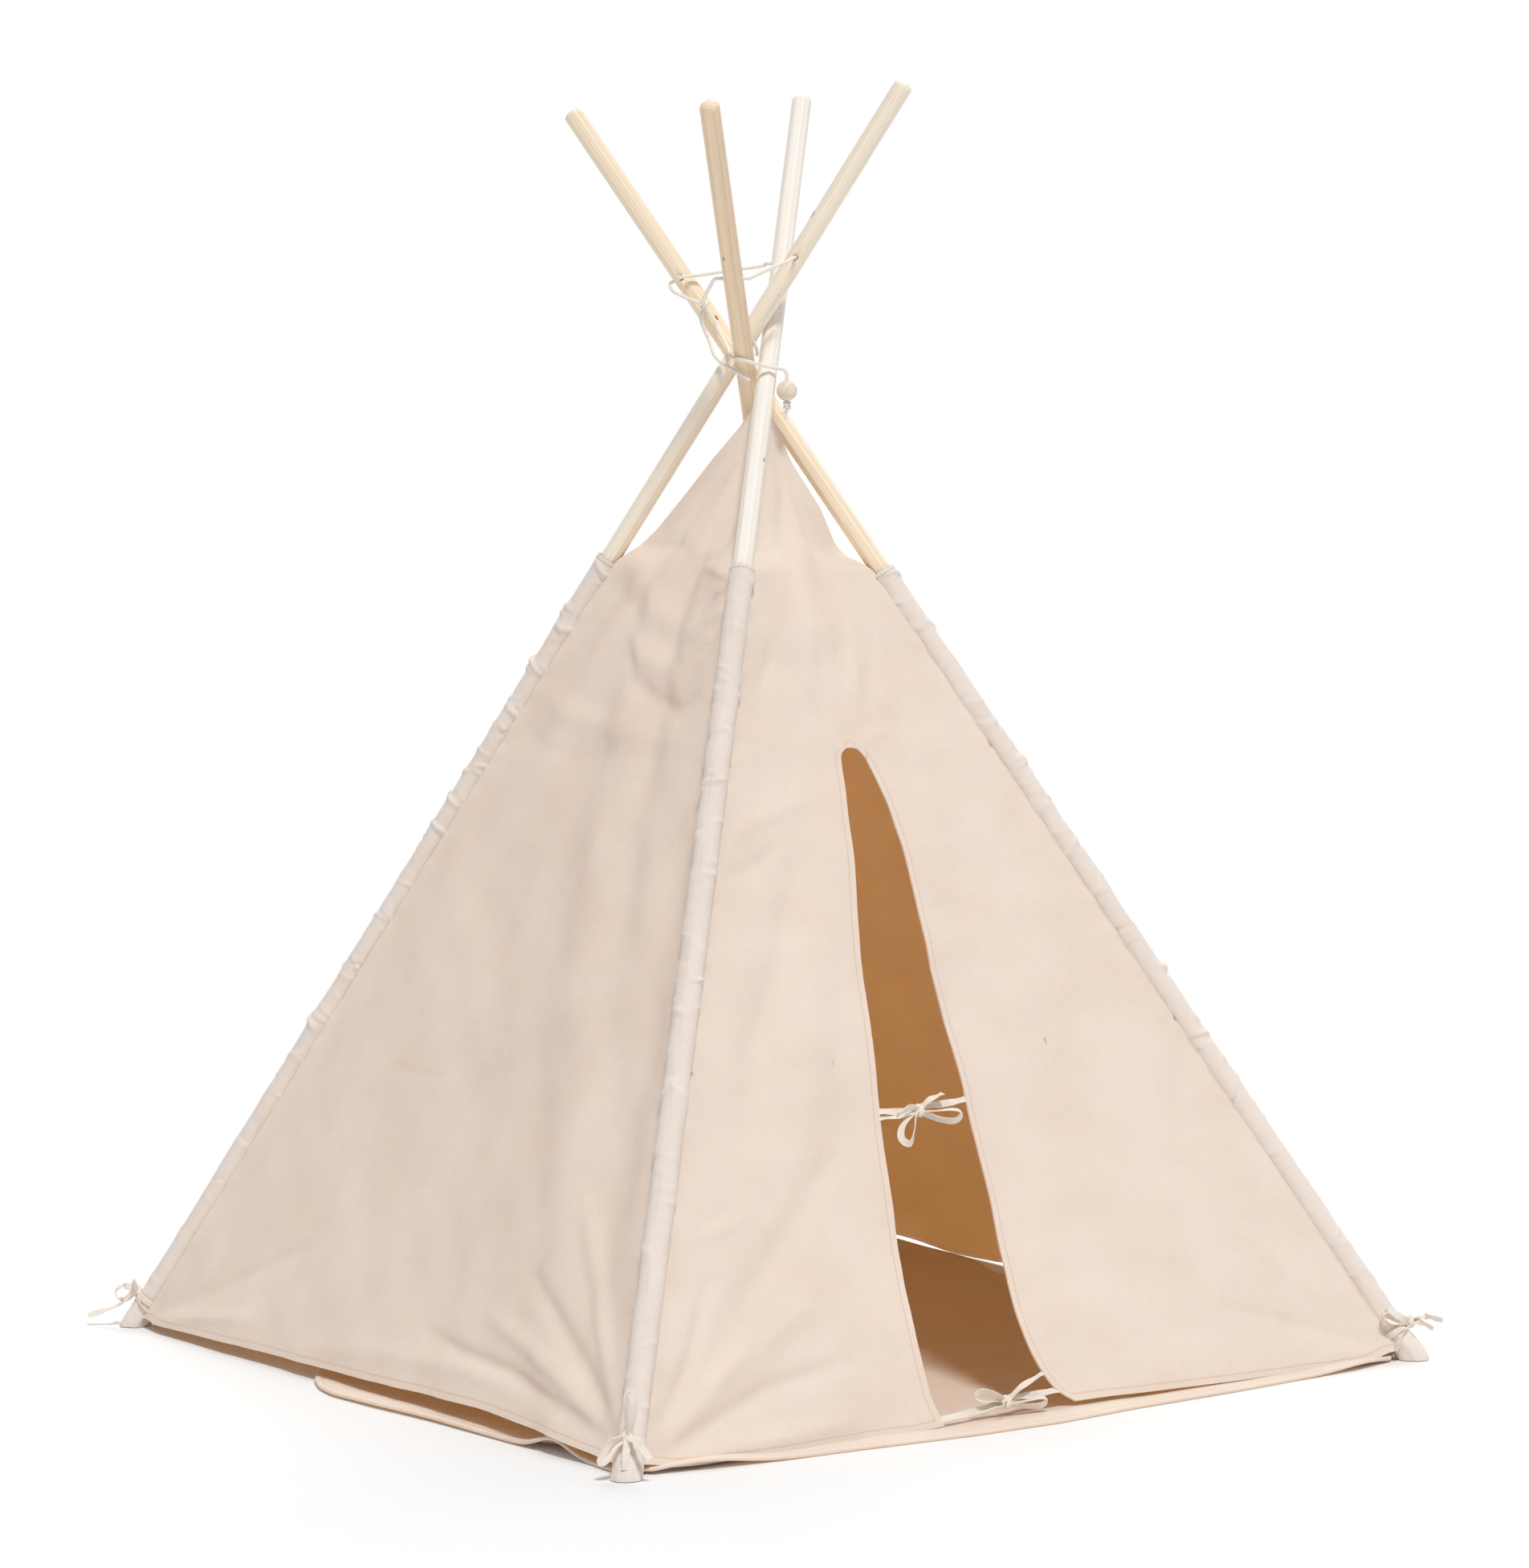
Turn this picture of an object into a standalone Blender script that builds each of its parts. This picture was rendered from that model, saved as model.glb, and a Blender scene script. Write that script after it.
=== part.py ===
"""A children's play teepee: four poles lashed at the crown, a canvas cover on sleeves, and a floor mat.

The frame is metres with +Z up. The origin is on the floor under the middle of the square
base, and the door wall faces -Y. Each pole leans from its foot at a corner of the base,
past its neighbours at the lashing, to a free tip. The cover hangs on sleeves that run up
the poles and closes in a gathered peak inside the crossing.
"""

import math

import bmesh
import bpy
import numpy as np

# The frame
BASE_SIDE = 1.135  # from foot to foot
CROSSING_HEIGHT = 1.200
POLE_LENGTH = 1.820
POLE_WIDTH = 0.0230  # across the flats of the octagon
POLE_END_ROUND = 0.004
POLE_FOOT_LIFT = 0.012  # from the floor to the pole's end, along the pole
LASHING_HOLE_RISE = 0.1414  # from the crossing, along the pole
LASHING_HOLE = 0.0072
POLE_SIDES = 8
# Along a domed end and across it, from the tip
POLE_END_SHARES = ((0.0, 0.62), (0.30, 0.88), (1.0, 1.0))
# Where each pole's axis passes the middle of the crown, which makes the poles swirl
CROSSING_PLACE = {
    "front_left": (0.006, -0.027),
    "front_right": (0.014, 0.038),
    "back_left": (-0.021, 0.017),
    "back_right": (-0.018, -0.014),
}

# The cover
CLOTH = 0.0020
SEAM_GAP = 0.0003
SEWN_EDGE_GAP = 0.0016  # from a sewn corner line to the edge of each cloth beside it
MIDDLE_SEAM_GAP = 0.0005  # from the door wall's middle seam to each panel
SLEEVE_BORE = 0.0132
SLEEVE_WALL = 0.0018
SLEEVE_TOP = 1.150  # from the foot, along the pole
SLEEVE_RUCK = 0.0010
SLEEVE_RUCK_SHARES = (0, 0.6, -0.3, 0.4, -0.5, 0.3, 0, 0.5, -0.4, 0.6, -0.2, 0.5, 0.2)
CUFF_TOP = 0.040
CUFF_WALL = 0.0030
CUFF_FLARE = 0.0020
CUFF_REACH = SLEEVE_BORE + CUFF_WALL + CUFF_FLARE
HEM_PLACE = 0.021
CONE_RISE = 0.035
CONE_INSET = 0.024
PEAK_DROP = 0.045  # below the crossing
PEAK_PLACE = (-0.006, -0.019)
PEAK_RADIUS = 0.0085
WALL_SAG = 0.010
FOLD_DEPTH = 0.010
CONE_ROWS = 4
CONE_FLATNESS = 0.8  # how far the folds have gone at the peak
# Each fold's place at the top, its place at the hem, its depth and its width
WALL_FOLD_SHARES = {
    "wall_left": (
        (0.42, 0.95, 0.9, 0.08),
        (0.62, 0.97, -0.8, 0.06),
        (0.25, 0.05, 0.6, 0.07),
        (0.50, 0.50, -0.5, 0.15),
    ),
    "wall_back": ((0.40, 0.05, 0.8, 0.08), (0.60, 0.95, 0.8, 0.08), (0.50, 0.45, -0.6, 0.12)),
    "wall_right": ((0.38, 0.05, 0.8, 0.07), (0.58, 0.96, 0.7, 0.08), (0.50, 0.55, -0.6, 0.13)),
}

# The door
DOOR_HEIGHT = 0.893  # along the poles
DOOR_GAP = 0.145
DOOR_RIGHT_EDGE = 0.008
DOOR_TOP_WIDTH = 0.020
DOOR_TOP_GAP = 0.006  # from the flaps' tips to the sewn cloth above them
SLIT_CURVE = 2.3  # the power of the left edge's curve
DOOR_HINGE_PLACE = 0.330  # from the middle of the wall, at the hem
HINGE_GAP = 0.0003  # from the hinge line to the cloth on each side
DOOR_BOW_PLACE = 0.415  # along the poles
DOOR_BOW_ASIDE = -0.055  # from the middle of the wall
THRESHOLD_BOW_PLACE = 0.030
THRESHOLD_BOW_ASIDE = -0.042

# The ties
TAPE_WIDTH = 0.0085
TAPE = 0.0012
TAPE_TILT = math.radians(80)  # from lying flat on the cloth
KNOT_SIZE = (0.0080, 0.0070, 0.0055)  # half sizes along, up and out
BOW_REACH = 0.050  # from the knot to the end of a loop
FOOT_TIE_PLACE = 0.050  # from the foot, along the pole
FOOT_TIE_WRAP = math.radians(125)  # each way round the sleeve from its outer side

# The lashing
CORD = 0.0045
BEAD = 0.0250
BEAD_BORE = 0.0062
BEAD_RISE = 0.0160  # from the end of the cord
LASHING_KNOT_SIZE = (0.0070, 0.0065, 0.0075)
END_KNOT_SIZE = (0.0065, 0.0065, 0.0050)

# The mat
MAT = 0.0050
MAT_OVERHANG = 0.022
MAT_EDGE_WAVE = 0.004
MAT_CORNERS = ("front_left", "front_right", "back_right", "back_left")  # in order round the base

CORNERS = {
    "front_left": (-1, -1),
    "front_right": (1, -1),
    "back_left": (-1, 1),
    "back_right": (1, 1),
}
# The poles on the left and on the right of each whole wall, seen from outside
WALL_POLES = {
    "wall_left": ("back_left", "front_left"),
    "wall_back": ("back_right", "back_left"),
    "wall_right": ("front_right", "back_right"),
}
UP = np.array([0.0, 0.0, 1.0])


def smooth(x):
    """A step from 0 to 1 with level ends."""
    x = np.clip(x, 0, 1)
    return x * x * (3 - 2 * x)


def unit(v):
    v = np.asarray(v, float)
    return v / np.linalg.norm(v)


def material(name, colour, roughness):
    """A Principled material of one colour."""
    m = bpy.data.materials.new(name)
    m.use_nodes = True
    shader = m.node_tree.nodes["Principled BSDF"]
    shader.inputs["Base Color"].default_value = (*colour, 1)
    shader.inputs["Roughness"].default_value = roughness
    shader.inputs["Metallic"].default_value = 0.0
    m.diffuse_color = (*colour, 1)
    return m


def clear_scene():
    for thing in list(bpy.data.objects):
        bpy.data.objects.remove(thing, do_unlink=True)


def add_object(name, points, faces, look, rounded=False):
    """A mesh object from points and faces, with its normals pointing out."""
    mesh = bpy.data.meshes.new(name)
    mesh.from_pydata([tuple(map(float, p)) for p in points], [], [tuple(map(int, f)) for f in faces])
    b = bmesh.new()
    b.from_mesh(mesh)
    bmesh.ops.recalc_face_normals(b, faces=b.faces)
    b.to_mesh(mesh)
    b.free()
    obj = bpy.data.objects.new(name, mesh)
    bpy.context.scene.collection.objects.link(obj)
    mesh.materials.append(look)
    if rounded:
        mesh.shade_smooth()
        mesh.set_sharp_from_angle(angle=math.radians(40))
    return obj


def fuse(name, solids, look):
    """One solid from several that run into each other."""
    whole = solids[0]
    for other in solids[1:]:
        cut = whole.modifiers.new("join", "BOOLEAN")
        cut.operation = "UNION"
        cut.solver = "EXACT"
        cut.use_self = True
        cut.object = other
    bpy.context.view_layer.update()
    mesh = bpy.data.meshes.new_from_object(whole.evaluated_get(bpy.context.evaluated_depsgraph_get()))
    for other in solids:
        bpy.data.objects.remove(other, do_unlink=True)
    mesh.name = name
    mesh.materials.clear()
    mesh.materials.append(look)
    obj = bpy.data.objects.new(name, mesh)
    bpy.context.scene.collection.objects.link(obj)
    return obj


# The poles' lines, which everything else follows


class Pole:
    """One pole's axis, from its foot on the floor past the crossing."""

    def __init__(self, corner):
        sx, sy = CORNERS[corner]
        self.corner = corner
        self.foot = np.array([sx * BASE_SIDE / 2, sy * BASE_SIDE / 2, 0.0])
        self.crossing = np.array([*CROSSING_PLACE[corner], CROSSING_HEIGHT])
        self.line = unit(self.crossing - self.foot)
        self.outward = unit((self.foot - self.crossing) * [1, 1, 0])
        self.sideways = unit(np.cross(UP, self.outward))
        self.inner_side = unit(np.cross(self.sideways, self.line))
        if self.inner_side @ self.outward > 0:
            self.inner_side = -self.inner_side

    def at(self, place):
        """The axis point at a distance from the foot."""
        return self.foot + self.line * place

    def beside(self, other, place, distance):
        """A point at a distance from the axis, towards another pole."""
        across = other.at(place) - self.at(place)
        across = unit(across - (across @ self.line) * self.line)
        return self.at(place) + across * distance

    def ring(self, place, radius, count, turn=0.0):
        """Points round the axis. The first is on the side that faces the floor's middle."""
        angles = np.arange(count) * 2 * math.pi / count + turn
        return [
            self.at(place) + radius * (math.cos(a) * self.inner_side + math.sin(a) * self.sideways)
            for a in angles
        ]


POLES = {corner: Pole(corner) for corner in CORNERS}


def hole_place():
    """The lashing holes' distance from the foot, which is the same on every pole."""
    to_crossing = [np.linalg.norm(pole.crossing - pole.foot) for pole in POLES.values()]
    return np.mean(to_crossing) + LASHING_HOLE_RISE


def loft(rings, cap_first=True, cap_last=True):
    """Points and faces of a tube through rings of equal count, with its ends closed."""
    count = len(rings[0])
    points = [p for ring in rings for p in ring]
    faces = []
    for i in range(len(rings) - 1):
        for j in range(count):
            k = (j + 1) % count
            faces.append((i * count + j, i * count + k, (i + 1) * count + k, (i + 1) * count + j))
    if cap_first:
        faces.append(tuple(range(count))[::-1])
    if cap_last:
        faces.append(tuple((len(rings) - 1) * count + j for j in range(count)))
    return points, faces


def hollow(outer, inner):
    """A tube wall from outer rings up and any inner rings back down, closed into itself."""
    rings = outer + inner[::-1]
    points, faces = loft(rings, False, False)
    count = len(rings[0])
    last = (len(rings) - 1) * count
    for j in range(count):
        k = (j + 1) % count
        faces.append((last + j, last + k, k, j))
    return points, faces


def make_pole(pole, look):
    """An eight-sided pole with domed ends and a drilled hole for the lashing."""
    turn = math.pi / POLE_SIDES
    corner_radius = POLE_WIDTH / 2 / math.cos(turn)
    bottom = POLE_FOOT_LIFT
    top = POLE_FOOT_LIFT + POLE_LENGTH
    rings = []
    for along, across in POLE_END_SHARES:
        rings.append(pole.ring(bottom + POLE_END_ROUND * along, corner_radius * across, POLE_SIDES, turn))
    for along, across in POLE_END_SHARES[::-1]:
        rings.append(pole.ring(top - POLE_END_ROUND * along, corner_radius * across, POLE_SIDES, turn))
    obj = add_object("pole_" + pole.corner, *loft(rings), look)
    hole = bore_tool("lashing_hole_" + pole.corner, pole.at(hole_place()), pole.sideways, look)
    cut = obj.modifiers.new("lashing hole", "BOOLEAN")
    cut.operation = "DIFFERENCE"
    cut.solver = "EXACT"
    cut.object = hole
    return obj


def bore_tool(name, centre, axis, look, sides=10):
    """A hidden cutter, long enough to pass through a pole."""
    across = unit(np.cross(axis, UP))
    other = np.cross(axis, across)
    rings = []
    for end in (-1, 1):
        ring = []
        for a in np.arange(sides) * 2 * math.pi / sides:
            spoke = math.cos(a) * across + math.sin(a) * other
            ring.append(centre + axis * end * POLE_WIDTH + spoke * LASHING_HOLE / 2)
        rings.append(ring)
    cutter = add_object(name, *loft(rings), look)
    cutter.hide_render = True
    cutter.display_type = "WIRE"
    return cutter


def make_sleeve(pole, look):
    """The fabric sleeve that holds the pole, rucked along its length."""
    bottom = CUFF_TOP + SEAM_GAP
    outer = []
    for place, share in zip(np.linspace(bottom, SLEEVE_TOP, len(SLEEVE_RUCK_SHARES)), SLEEVE_RUCK_SHARES):
        outer.append(pole.ring(place, SLEEVE_BORE + SLEEVE_WALL + SLEEVE_RUCK * share, 12))
    inner = [pole.ring(s, SLEEVE_BORE, 12) for s in (bottom, SLEEVE_TOP)]
    return add_object("sleeve_" + pole.corner, *hollow(outer, inner), look, True)


def make_cuff(pole, look):
    """The closed foot of the sleeve, a cup that stands flat on the floor."""
    low = POLE_FOOT_LIFT - SEAM_GAP
    radius = SLEEVE_BORE + CUFF_WALL
    outer = [
        pole.ring(-radius, radius * 0.9, 16),
        pole.ring(low / 2, radius + CUFF_FLARE, 16),
        pole.ring(CUFF_TOP * 0.6, radius + CUFF_FLARE / 2, 16),
        pole.ring(CUFF_TOP, radius - CUFF_FLARE / 2, 16),
    ]
    inner = [pole.ring(s, SLEEVE_BORE, 16) for s in (CUFF_TOP, low)]
    obj = add_object("foot_cuff_" + pole.corner, *loft(outer + inner), look, True)
    b = bmesh.new()
    b.from_mesh(obj.data)
    cut = bmesh.ops.bisect_plane(
        b, geom=b.verts[:] + b.edges[:] + b.faces[:], plane_co=(0, 0, 0), plane_no=(0, 0, 1), clear_inner=True
    )
    rim = [e for e in cut["geom_cut"] if isinstance(e, bmesh.types.BMEdge)]
    bmesh.ops.edgeloop_fill(b, edges=rim)
    bmesh.ops.recalc_face_normals(b, faces=b.faces)
    b.to_mesh(obj.data)
    b.free()
    return obj


# The cover


# A row of cloth points is named by its place along the sleeve, or by its share of the way up the cone
CONE = [("cone", share) for share in np.linspace(0, 1, CONE_ROWS)]


def sleeve_rows(places):
    return [("sleeve", place) for place in places]


def peak_point(pole):
    middle = np.array([*PEAK_PLACE, CROSSING_HEIGHT - PEAK_DROP])
    return middle + PEAK_RADIUS * unit(pole.outward)


def cover_corner(pole, other, row):
    """The edge of a cloth beside a pole: along the sleeve, then inside the pole to the peak."""
    kind, value = row
    if kind == "sleeve":
        carrier = CUFF_REACH if value < CUFF_TOP else SLEEVE_BORE + SLEEVE_WALL + SLEEVE_RUCK
        return pole.beside(other, value, carrier + SEAM_GAP)
    start = pole.at(SLEEVE_TOP + CONE_RISE) - CONE_INSET * pole.outward
    line = start + (peak_point(pole) - start) * value
    towards = unit(other.at(SLEEVE_TOP) - pole.at(SLEEVE_TOP))
    return line + towards * SEWN_EDGE_GAP


def cloth_offset(u, height, folds):
    """Distance of the cloth from its flat span: a sag, and creases that run to the corners."""
    span = math.sin(math.pi * u)
    rise = min(1.0, max(0.0, height))
    value = -WALL_SAG * span * math.sin(math.pi * (0.15 + 0.85 * rise)) ** 0.6
    for top_share, bottom_share, depth_share, width_share in folds:
        centre = bottom_share + (top_share - bottom_share) * rise
        value += FOLD_DEPTH * depth_share * math.exp(-(((u - centre) / width_share) ** 2)) * span ** 0.5
    return value * flattening(height)


def flattening(height):
    """The share of the folds that is left, from all of them on the walls to few at the peak."""
    return 1 - CONE_FLATNESS * smooth((height - 0.9) / 0.25)


def cloth_solid(name, grid, look):
    """A closed cloth of one thickness about a grid of points, rows up and columns across."""
    g = np.asarray(grid, float)
    across = np.gradient(g, axis=1)
    up = np.gradient(g, axis=0)
    normal = np.cross(across, up)
    normal /= np.linalg.norm(normal, axis=2, keepdims=True)
    rows, columns = g.shape[:2]
    sides = [(g + normal * CLOTH / 2).reshape(-1, 3), (g - normal * CLOTH / 2).reshape(-1, 3)]
    points = np.concatenate(sides)
    n = rows * columns
    faces = []
    for i in range(rows - 1):
        for j in range(columns - 1):
            a = i * columns + j
            b = a + columns
            faces.append((a, a + 1, b + 1, b))
            faces.append((n + a, n + b, n + b + 1, n + a + 1))
    rim = list(range(columns))
    rim += [i * columns + columns - 1 for i in range(1, rows)]
    rim += [(rows - 1) * columns + j for j in range(columns - 2, -1, -1)]
    rim += [i * columns for i in range(rows - 2, 0, -1)]
    for a, b in zip(rim, rim[1:] + rim[:1]):
        faces.append((b, a, n + a, n + b))
    return add_object(name, points, faces, look, True)


def wall_normal(left, right):
    """The outward direction of the wall between two poles."""
    across = right.foot - left.foot
    up = (left.at(SLEEVE_TOP) + right.at(SLEEVE_TOP)) / 2 - (left.foot + right.foot) / 2
    return unit(np.cross(across, up))


def level(direction):
    """The same way, but level with the floor, so that a fold doesn't lower the hem."""
    return unit(np.asarray(direction) * [1, 1, 0])


def row_height(row):
    return row[1] / SLEEVE_TOP if row[0] == "sleeve" else 1 + row[1] * 0.2


def make_wall(name, left, right, folds, look, columns=17, rows=11):
    """A whole wall from sleeve to sleeve and up to the peak. Left and right are seen from outside."""
    out = level(wall_normal(left, right))
    grid = []
    for row in sleeve_rows(np.linspace(HEM_PLACE, SLEEVE_TOP, rows)) + CONE:
        a = cover_corner(left, right, row)
        b = cover_corner(right, left, row)
        line = []
        for u in np.linspace(0, 1, columns):
            line.append(a + (b - a) * u + out * cloth_offset(u, row_height(row), folds))
        grid.append(line)
    return cloth_solid(name, grid, look)


class Door:
    """The door wall's own lines: its middle, its two hinge lines and the slit's two edges."""

    def __init__(self):
        self.left = POLES["front_left"]
        self.right = POLES["front_right"]
        self.out = wall_normal(self.left, self.right)
        self.along = unit(self.right.foot - self.left.foot)

    def middle(self, row):
        a = cover_corner(self.left, self.right, row)
        b = cover_corner(self.right, self.left, row)
        return (a + b) / 2

    def hinge(self, side, place):
        """A straight line from the hem to just beside the slit's top."""
        low = self.middle(("sleeve", HEM_PLACE)) + self.along * side * DOOR_HINGE_PLACE
        high = self.middle(("sleeve", DOOR_HEIGHT)) + self.along * side * DOOR_TOP_WIDTH
        return low + (high - low) * (place - HEM_PLACE) / (DOOR_HEIGHT - HEM_PLACE)

    def slit(self, side, place):
        """The slit's edge: the left one is drawn aside, the right one hangs straight."""
        share = max(0.0, (place - HEM_PLACE) / (DOOR_HEIGHT - HEM_PLACE))
        if side < 0:
            return self.middle(("sleeve", place)) - self.along * DOOR_GAP * (1 - share ** SLIT_CURVE)
        return self.middle(("sleeve", place)) + self.along * DOOR_RIGHT_EDGE


def make_door_panel(door, side, look, columns=10, low_rows=8, high_rows=4):
    """The sewn part of the door wall on one side, from its sleeve to the hinge line and middle seam."""
    pole, other = (door.left, door.right) if side < 0 else (door.right, door.left)
    low = np.linspace(HEM_PLACE, DOOR_HEIGHT - CLOTH, low_rows)
    high = np.linspace(DOOR_HEIGHT, SLEEVE_TOP, high_rows)
    grid = []
    for row in sleeve_rows([*low, *high]) + CONE:
        edge = cover_corner(pole, other, row)
        if row[0] == "sleeve" and row[1] < DOOR_HEIGHT:
            inner = door.hinge(side, row[1]) + door.along * side * HINGE_GAP
        else:
            inner = door.middle(row) + door.along * side * MIDDLE_SEAM_GAP
            past_door = smooth((row_height(row) - DOOR_HEIGHT / SLEEVE_TOP) * 5)
            inner = inner - door.out * WALL_SAG * 0.5 * past_door
        line = []
        for u in np.linspace(0, 1, columns):
            crease = math.sin(math.pi * u) * FOLD_DEPTH
            crease *= 0.7 * math.sin(3.0 * math.pi * (u + 0.35 * row_height(row))) - 0.4
            crease *= flattening(row_height(row))
            line.append(edge + (inner - edge) * u + level(door.out) * crease)
        grid.append(line if side < 0 else line[::-1])
    return cloth_solid("door_panel_" + ("left" if side < 0 else "right"), grid, look)


def flap_point(door, side, place, share):
    """A point of a flap, from its hinge line at share 0 to the slit at share 1."""
    hinge = door.hinge(side, place) - door.along * side * HINGE_GAP
    edge = door.slit(side, place)
    height = place / DOOR_HEIGHT
    wave = 0.8 * math.sin(2.2 * math.pi * share + 1.5 * height) * share - 0.5 * share * share
    return hinge + (edge - hinge) * share + level(door.out) * FOLD_DEPTH * wave * (1 - height)


def make_door_flap(door, side, look, columns=8, rows=11):
    """The free cloth between the hinge line and the slit."""
    grid = []
    for place in np.linspace(HEM_PLACE, DOOR_HEIGHT - DOOR_TOP_GAP, rows):
        line = [flap_point(door, side, place, u) for u in np.linspace(0, 1, columns)]
        grid.append(line if side < 0 else line[::-1])
    return cloth_solid("door_flap_" + ("left" if side < 0 else "right"), grid, look)


# The ties: flat tape in bows


def curve_through(route, per_step):
    """Points on a smooth curve (Catmull-Rom) through a route's own points."""
    r = np.asarray(route, float)
    r = np.concatenate([[2 * r[0] - r[1]], r, [2 * r[-1] - r[-2]]])
    points = []
    for before, start, end, after in zip(r, r[1:], r[2:], r[3:]):
        slope = (end - before) / 2
        end_slope = (after - start) / 2
        for t in np.arange(per_step) / per_step:
            bend = 3 * (end - start) - 2 * slope - end_slope
            twist = 2 * (start - end) + slope + end_slope
            points.append(start + slope * t + bend * t ** 2 + twist * t ** 3)
    points.append(r[-2])
    return np.array(points)


def flat_ring(centre, width, thick):
    """The four corners of a tape's section."""
    w = width * TAPE_WIDTH / 2
    t = thick * TAPE / 2
    return [centre + w + t, centre - w + t, centre - w - t, centre + w - t]


def ribbon(name, points, out, look, tilt=TAPE_TILT):
    """A flat tape along points. Tilt turns its width from lying on the surface to standing out."""
    p = np.asarray(points, float)
    rings = []
    for i in range(len(p)):
        along = unit(p[min(i + 1, len(p) - 1)] - p[max(i - 1, 0)])
        flat = unit(np.cross(along, out))
        upright = unit(np.cross(flat, along))
        width = flat * math.cos(tilt) + upright * math.sin(tilt)
        rings.append(flat_ring(p[i], width, np.cross(along, width)))
    return add_object(name, *loft(rings), look)


def knot(name, centre, axes, half_sizes, look):
    """A rounded knot with its half sizes along three axes."""
    b = bmesh.new()
    bmesh.ops.create_icosphere(b, subdivisions=2, radius=1.0)
    stretch = np.array([unit(axis) * half for axis, half in zip(axes, half_sizes)])
    points = np.array([v.co[:] for v in b.verts]) @ stretch + centre
    faces = [[v.index for v in f.verts] for f in b.faces]
    b.free()
    return add_object(name, points, faces, look, True)


# Each route is in shares of the bow's reach from its knot: along, up and out
DOOR_BOW_SHARES = {
    "right_loop": [
        (0.04, -0.04, 0.04), (0.4, -0.1, 0.16), (0.8, -0.12, 0.2), (1, -0.18, 0.2), (1, -0.3, 0.18),
        (0.8, -0.38, 0.14), (0.4, -0.28, 0.1), (0.04, -0.06, 0.04),
    ],
    "left_loop": [
        (-0.02, -0.02, 0.02), (-0.26, -0.22, 0.14), (-0.44, -0.56, 0.2), (-0.64, -0.82, 0.2),
        (-0.8, -0.66, 0.14), (-0.64, -0.36, 0.08), (-0.28, -0.12, 0.04), (-0.02, 0, 0.02),
    ],
    "right_tail": [(0.04, 0.04, 0.06), (0.24, 0.18, 0.18), (0.62, 0.28, 0.24)],
    "left_tail": [(-0.04, 0.02, 0.04), (-0.36, 0.04, 0.18), (-0.8, -0.12, 0.22)],
}
THRESHOLD_BOW_SHARES = {
    "right_loop": [
        (0.04, -0.06, 0.06), (0.4, -0.08, 0.18), (0.8, -0.06, 0.24), (0.96, -0.14, 0.24),
        (0.8, -0.24, 0.2), (0.4, -0.18, 0.12), (0.04, -0.06, 0.06),
    ],
    "left_loop": [
        (-0.04, 0.02, 0.02), (-0.4, 0.2, 0.14), (-0.76, 0.28, 0.2), (-0.96, 0.18, 0.2),
        (-0.76, 0.06, 0.16), (-0.4, 0.04, 0.08), (-0.04, 0, 0.02),
    ],
    "right_tail": [(0.04, 0.04, 0.06), (0.4, 0.26, 0.2), (1.1, 0.5, 0.2)],
    "left_tail": [(-0.02, 0, 0.04), (-0.24, -0.12, 0.2), (-0.48, -0.2, 0.32)],
}
FOOT_BOW_SHARES = {
    "upright_loop": [
        (0, 0.02, 0.02), (0.04, 0.36, 0.18), (0.06, 0.8, 0.32), (0.16, 1.02, 0.4), (0.28, 0.8, 0.34),
        (0.2, 0.36, 0.18), (0.02, 0.02, 0.02),
    ],
    "side_loop": [
        (-0.02, 0, 0.02), (-0.32, 0.12, 0.22), (-0.64, 0.06, 0.4), (-0.78, -0.12, 0.46),
        (-0.6, -0.22, 0.36), (-0.26, -0.12, 0.16), (-0.02, -0.02, 0.02),
    ],
    "low_tail": [(0.02, -0.02, 0.04), (0.12, -0.28, 0.22), (0.16, -0.56, 0.38)],
    "side_tail": [(0.04, 0, 0.04), (0.36, -0.06, 0.24), (0.72, -0.38, 0.48)],
}


def bow_parts(name, routes, centre, along, up, out, look):
    """The knot and its loops and tails, as solids that run into each other."""
    parts = [knot(name + "_knot", centre, (along, up, out), KNOT_SIZE, look)]
    for part, route in routes.items():
        world = centre + BOW_REACH * np.array(route) @ np.array([along, up, out])
        parts.append(ribbon(name + "_" + part, curve_through(world, 2), out, look))
    return parts


def tape_end(door, side, place):
    """Where a square tape end meets the slit's slanting edge, clear of it at both corners."""
    rise = door.slit(side, place + TAPE_WIDTH / 2) - door.slit(side, place - TAPE_WIDTH / 2)
    clear = 3 * SEAM_GAP + abs(rise @ door.along) / 2
    return flap_point(door, side, place, 1.0) - door.along * side * clear


def make_door_tie(name, door, place, aside, routes, strands, look):
    """A bow across the slit. Its left strap is tied in, and its right strap meets the knot's side."""
    up = unit(np.cross(door.out, door.along))
    centre = door.middle(("sleeve", place)) + door.along * aside
    parts = bow_parts(name + "_bow", routes, centre, door.along, up, door.out, look)
    for strand in range(strands):
        start = tape_end(door, -1, place - (TAPE_WIDTH + TAPE) * (strand - (strands - 1) / 2))
        line = [start, start + (centre - start) * 0.5 - up * TAPE, centre]
        parts.append(ribbon(name + "_strand_%d" % strand, curve_through(line, 3), door.out, look, 0.0))
    fuse(name + "_bow", parts, look)
    reach = KNOT_SIZE[0] + SEAM_GAP
    far = tape_end(door, 1, place + TAPE_WIDTH)
    start = centre + up * TAPE_WIDTH / 2
    near = start + unit(far - start) * reach
    line = [near, (near + far) / 2 - up * TAPE, far]
    ribbon(name + "_strap", curve_through(line, 3), door.out, look, 0.0)


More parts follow.
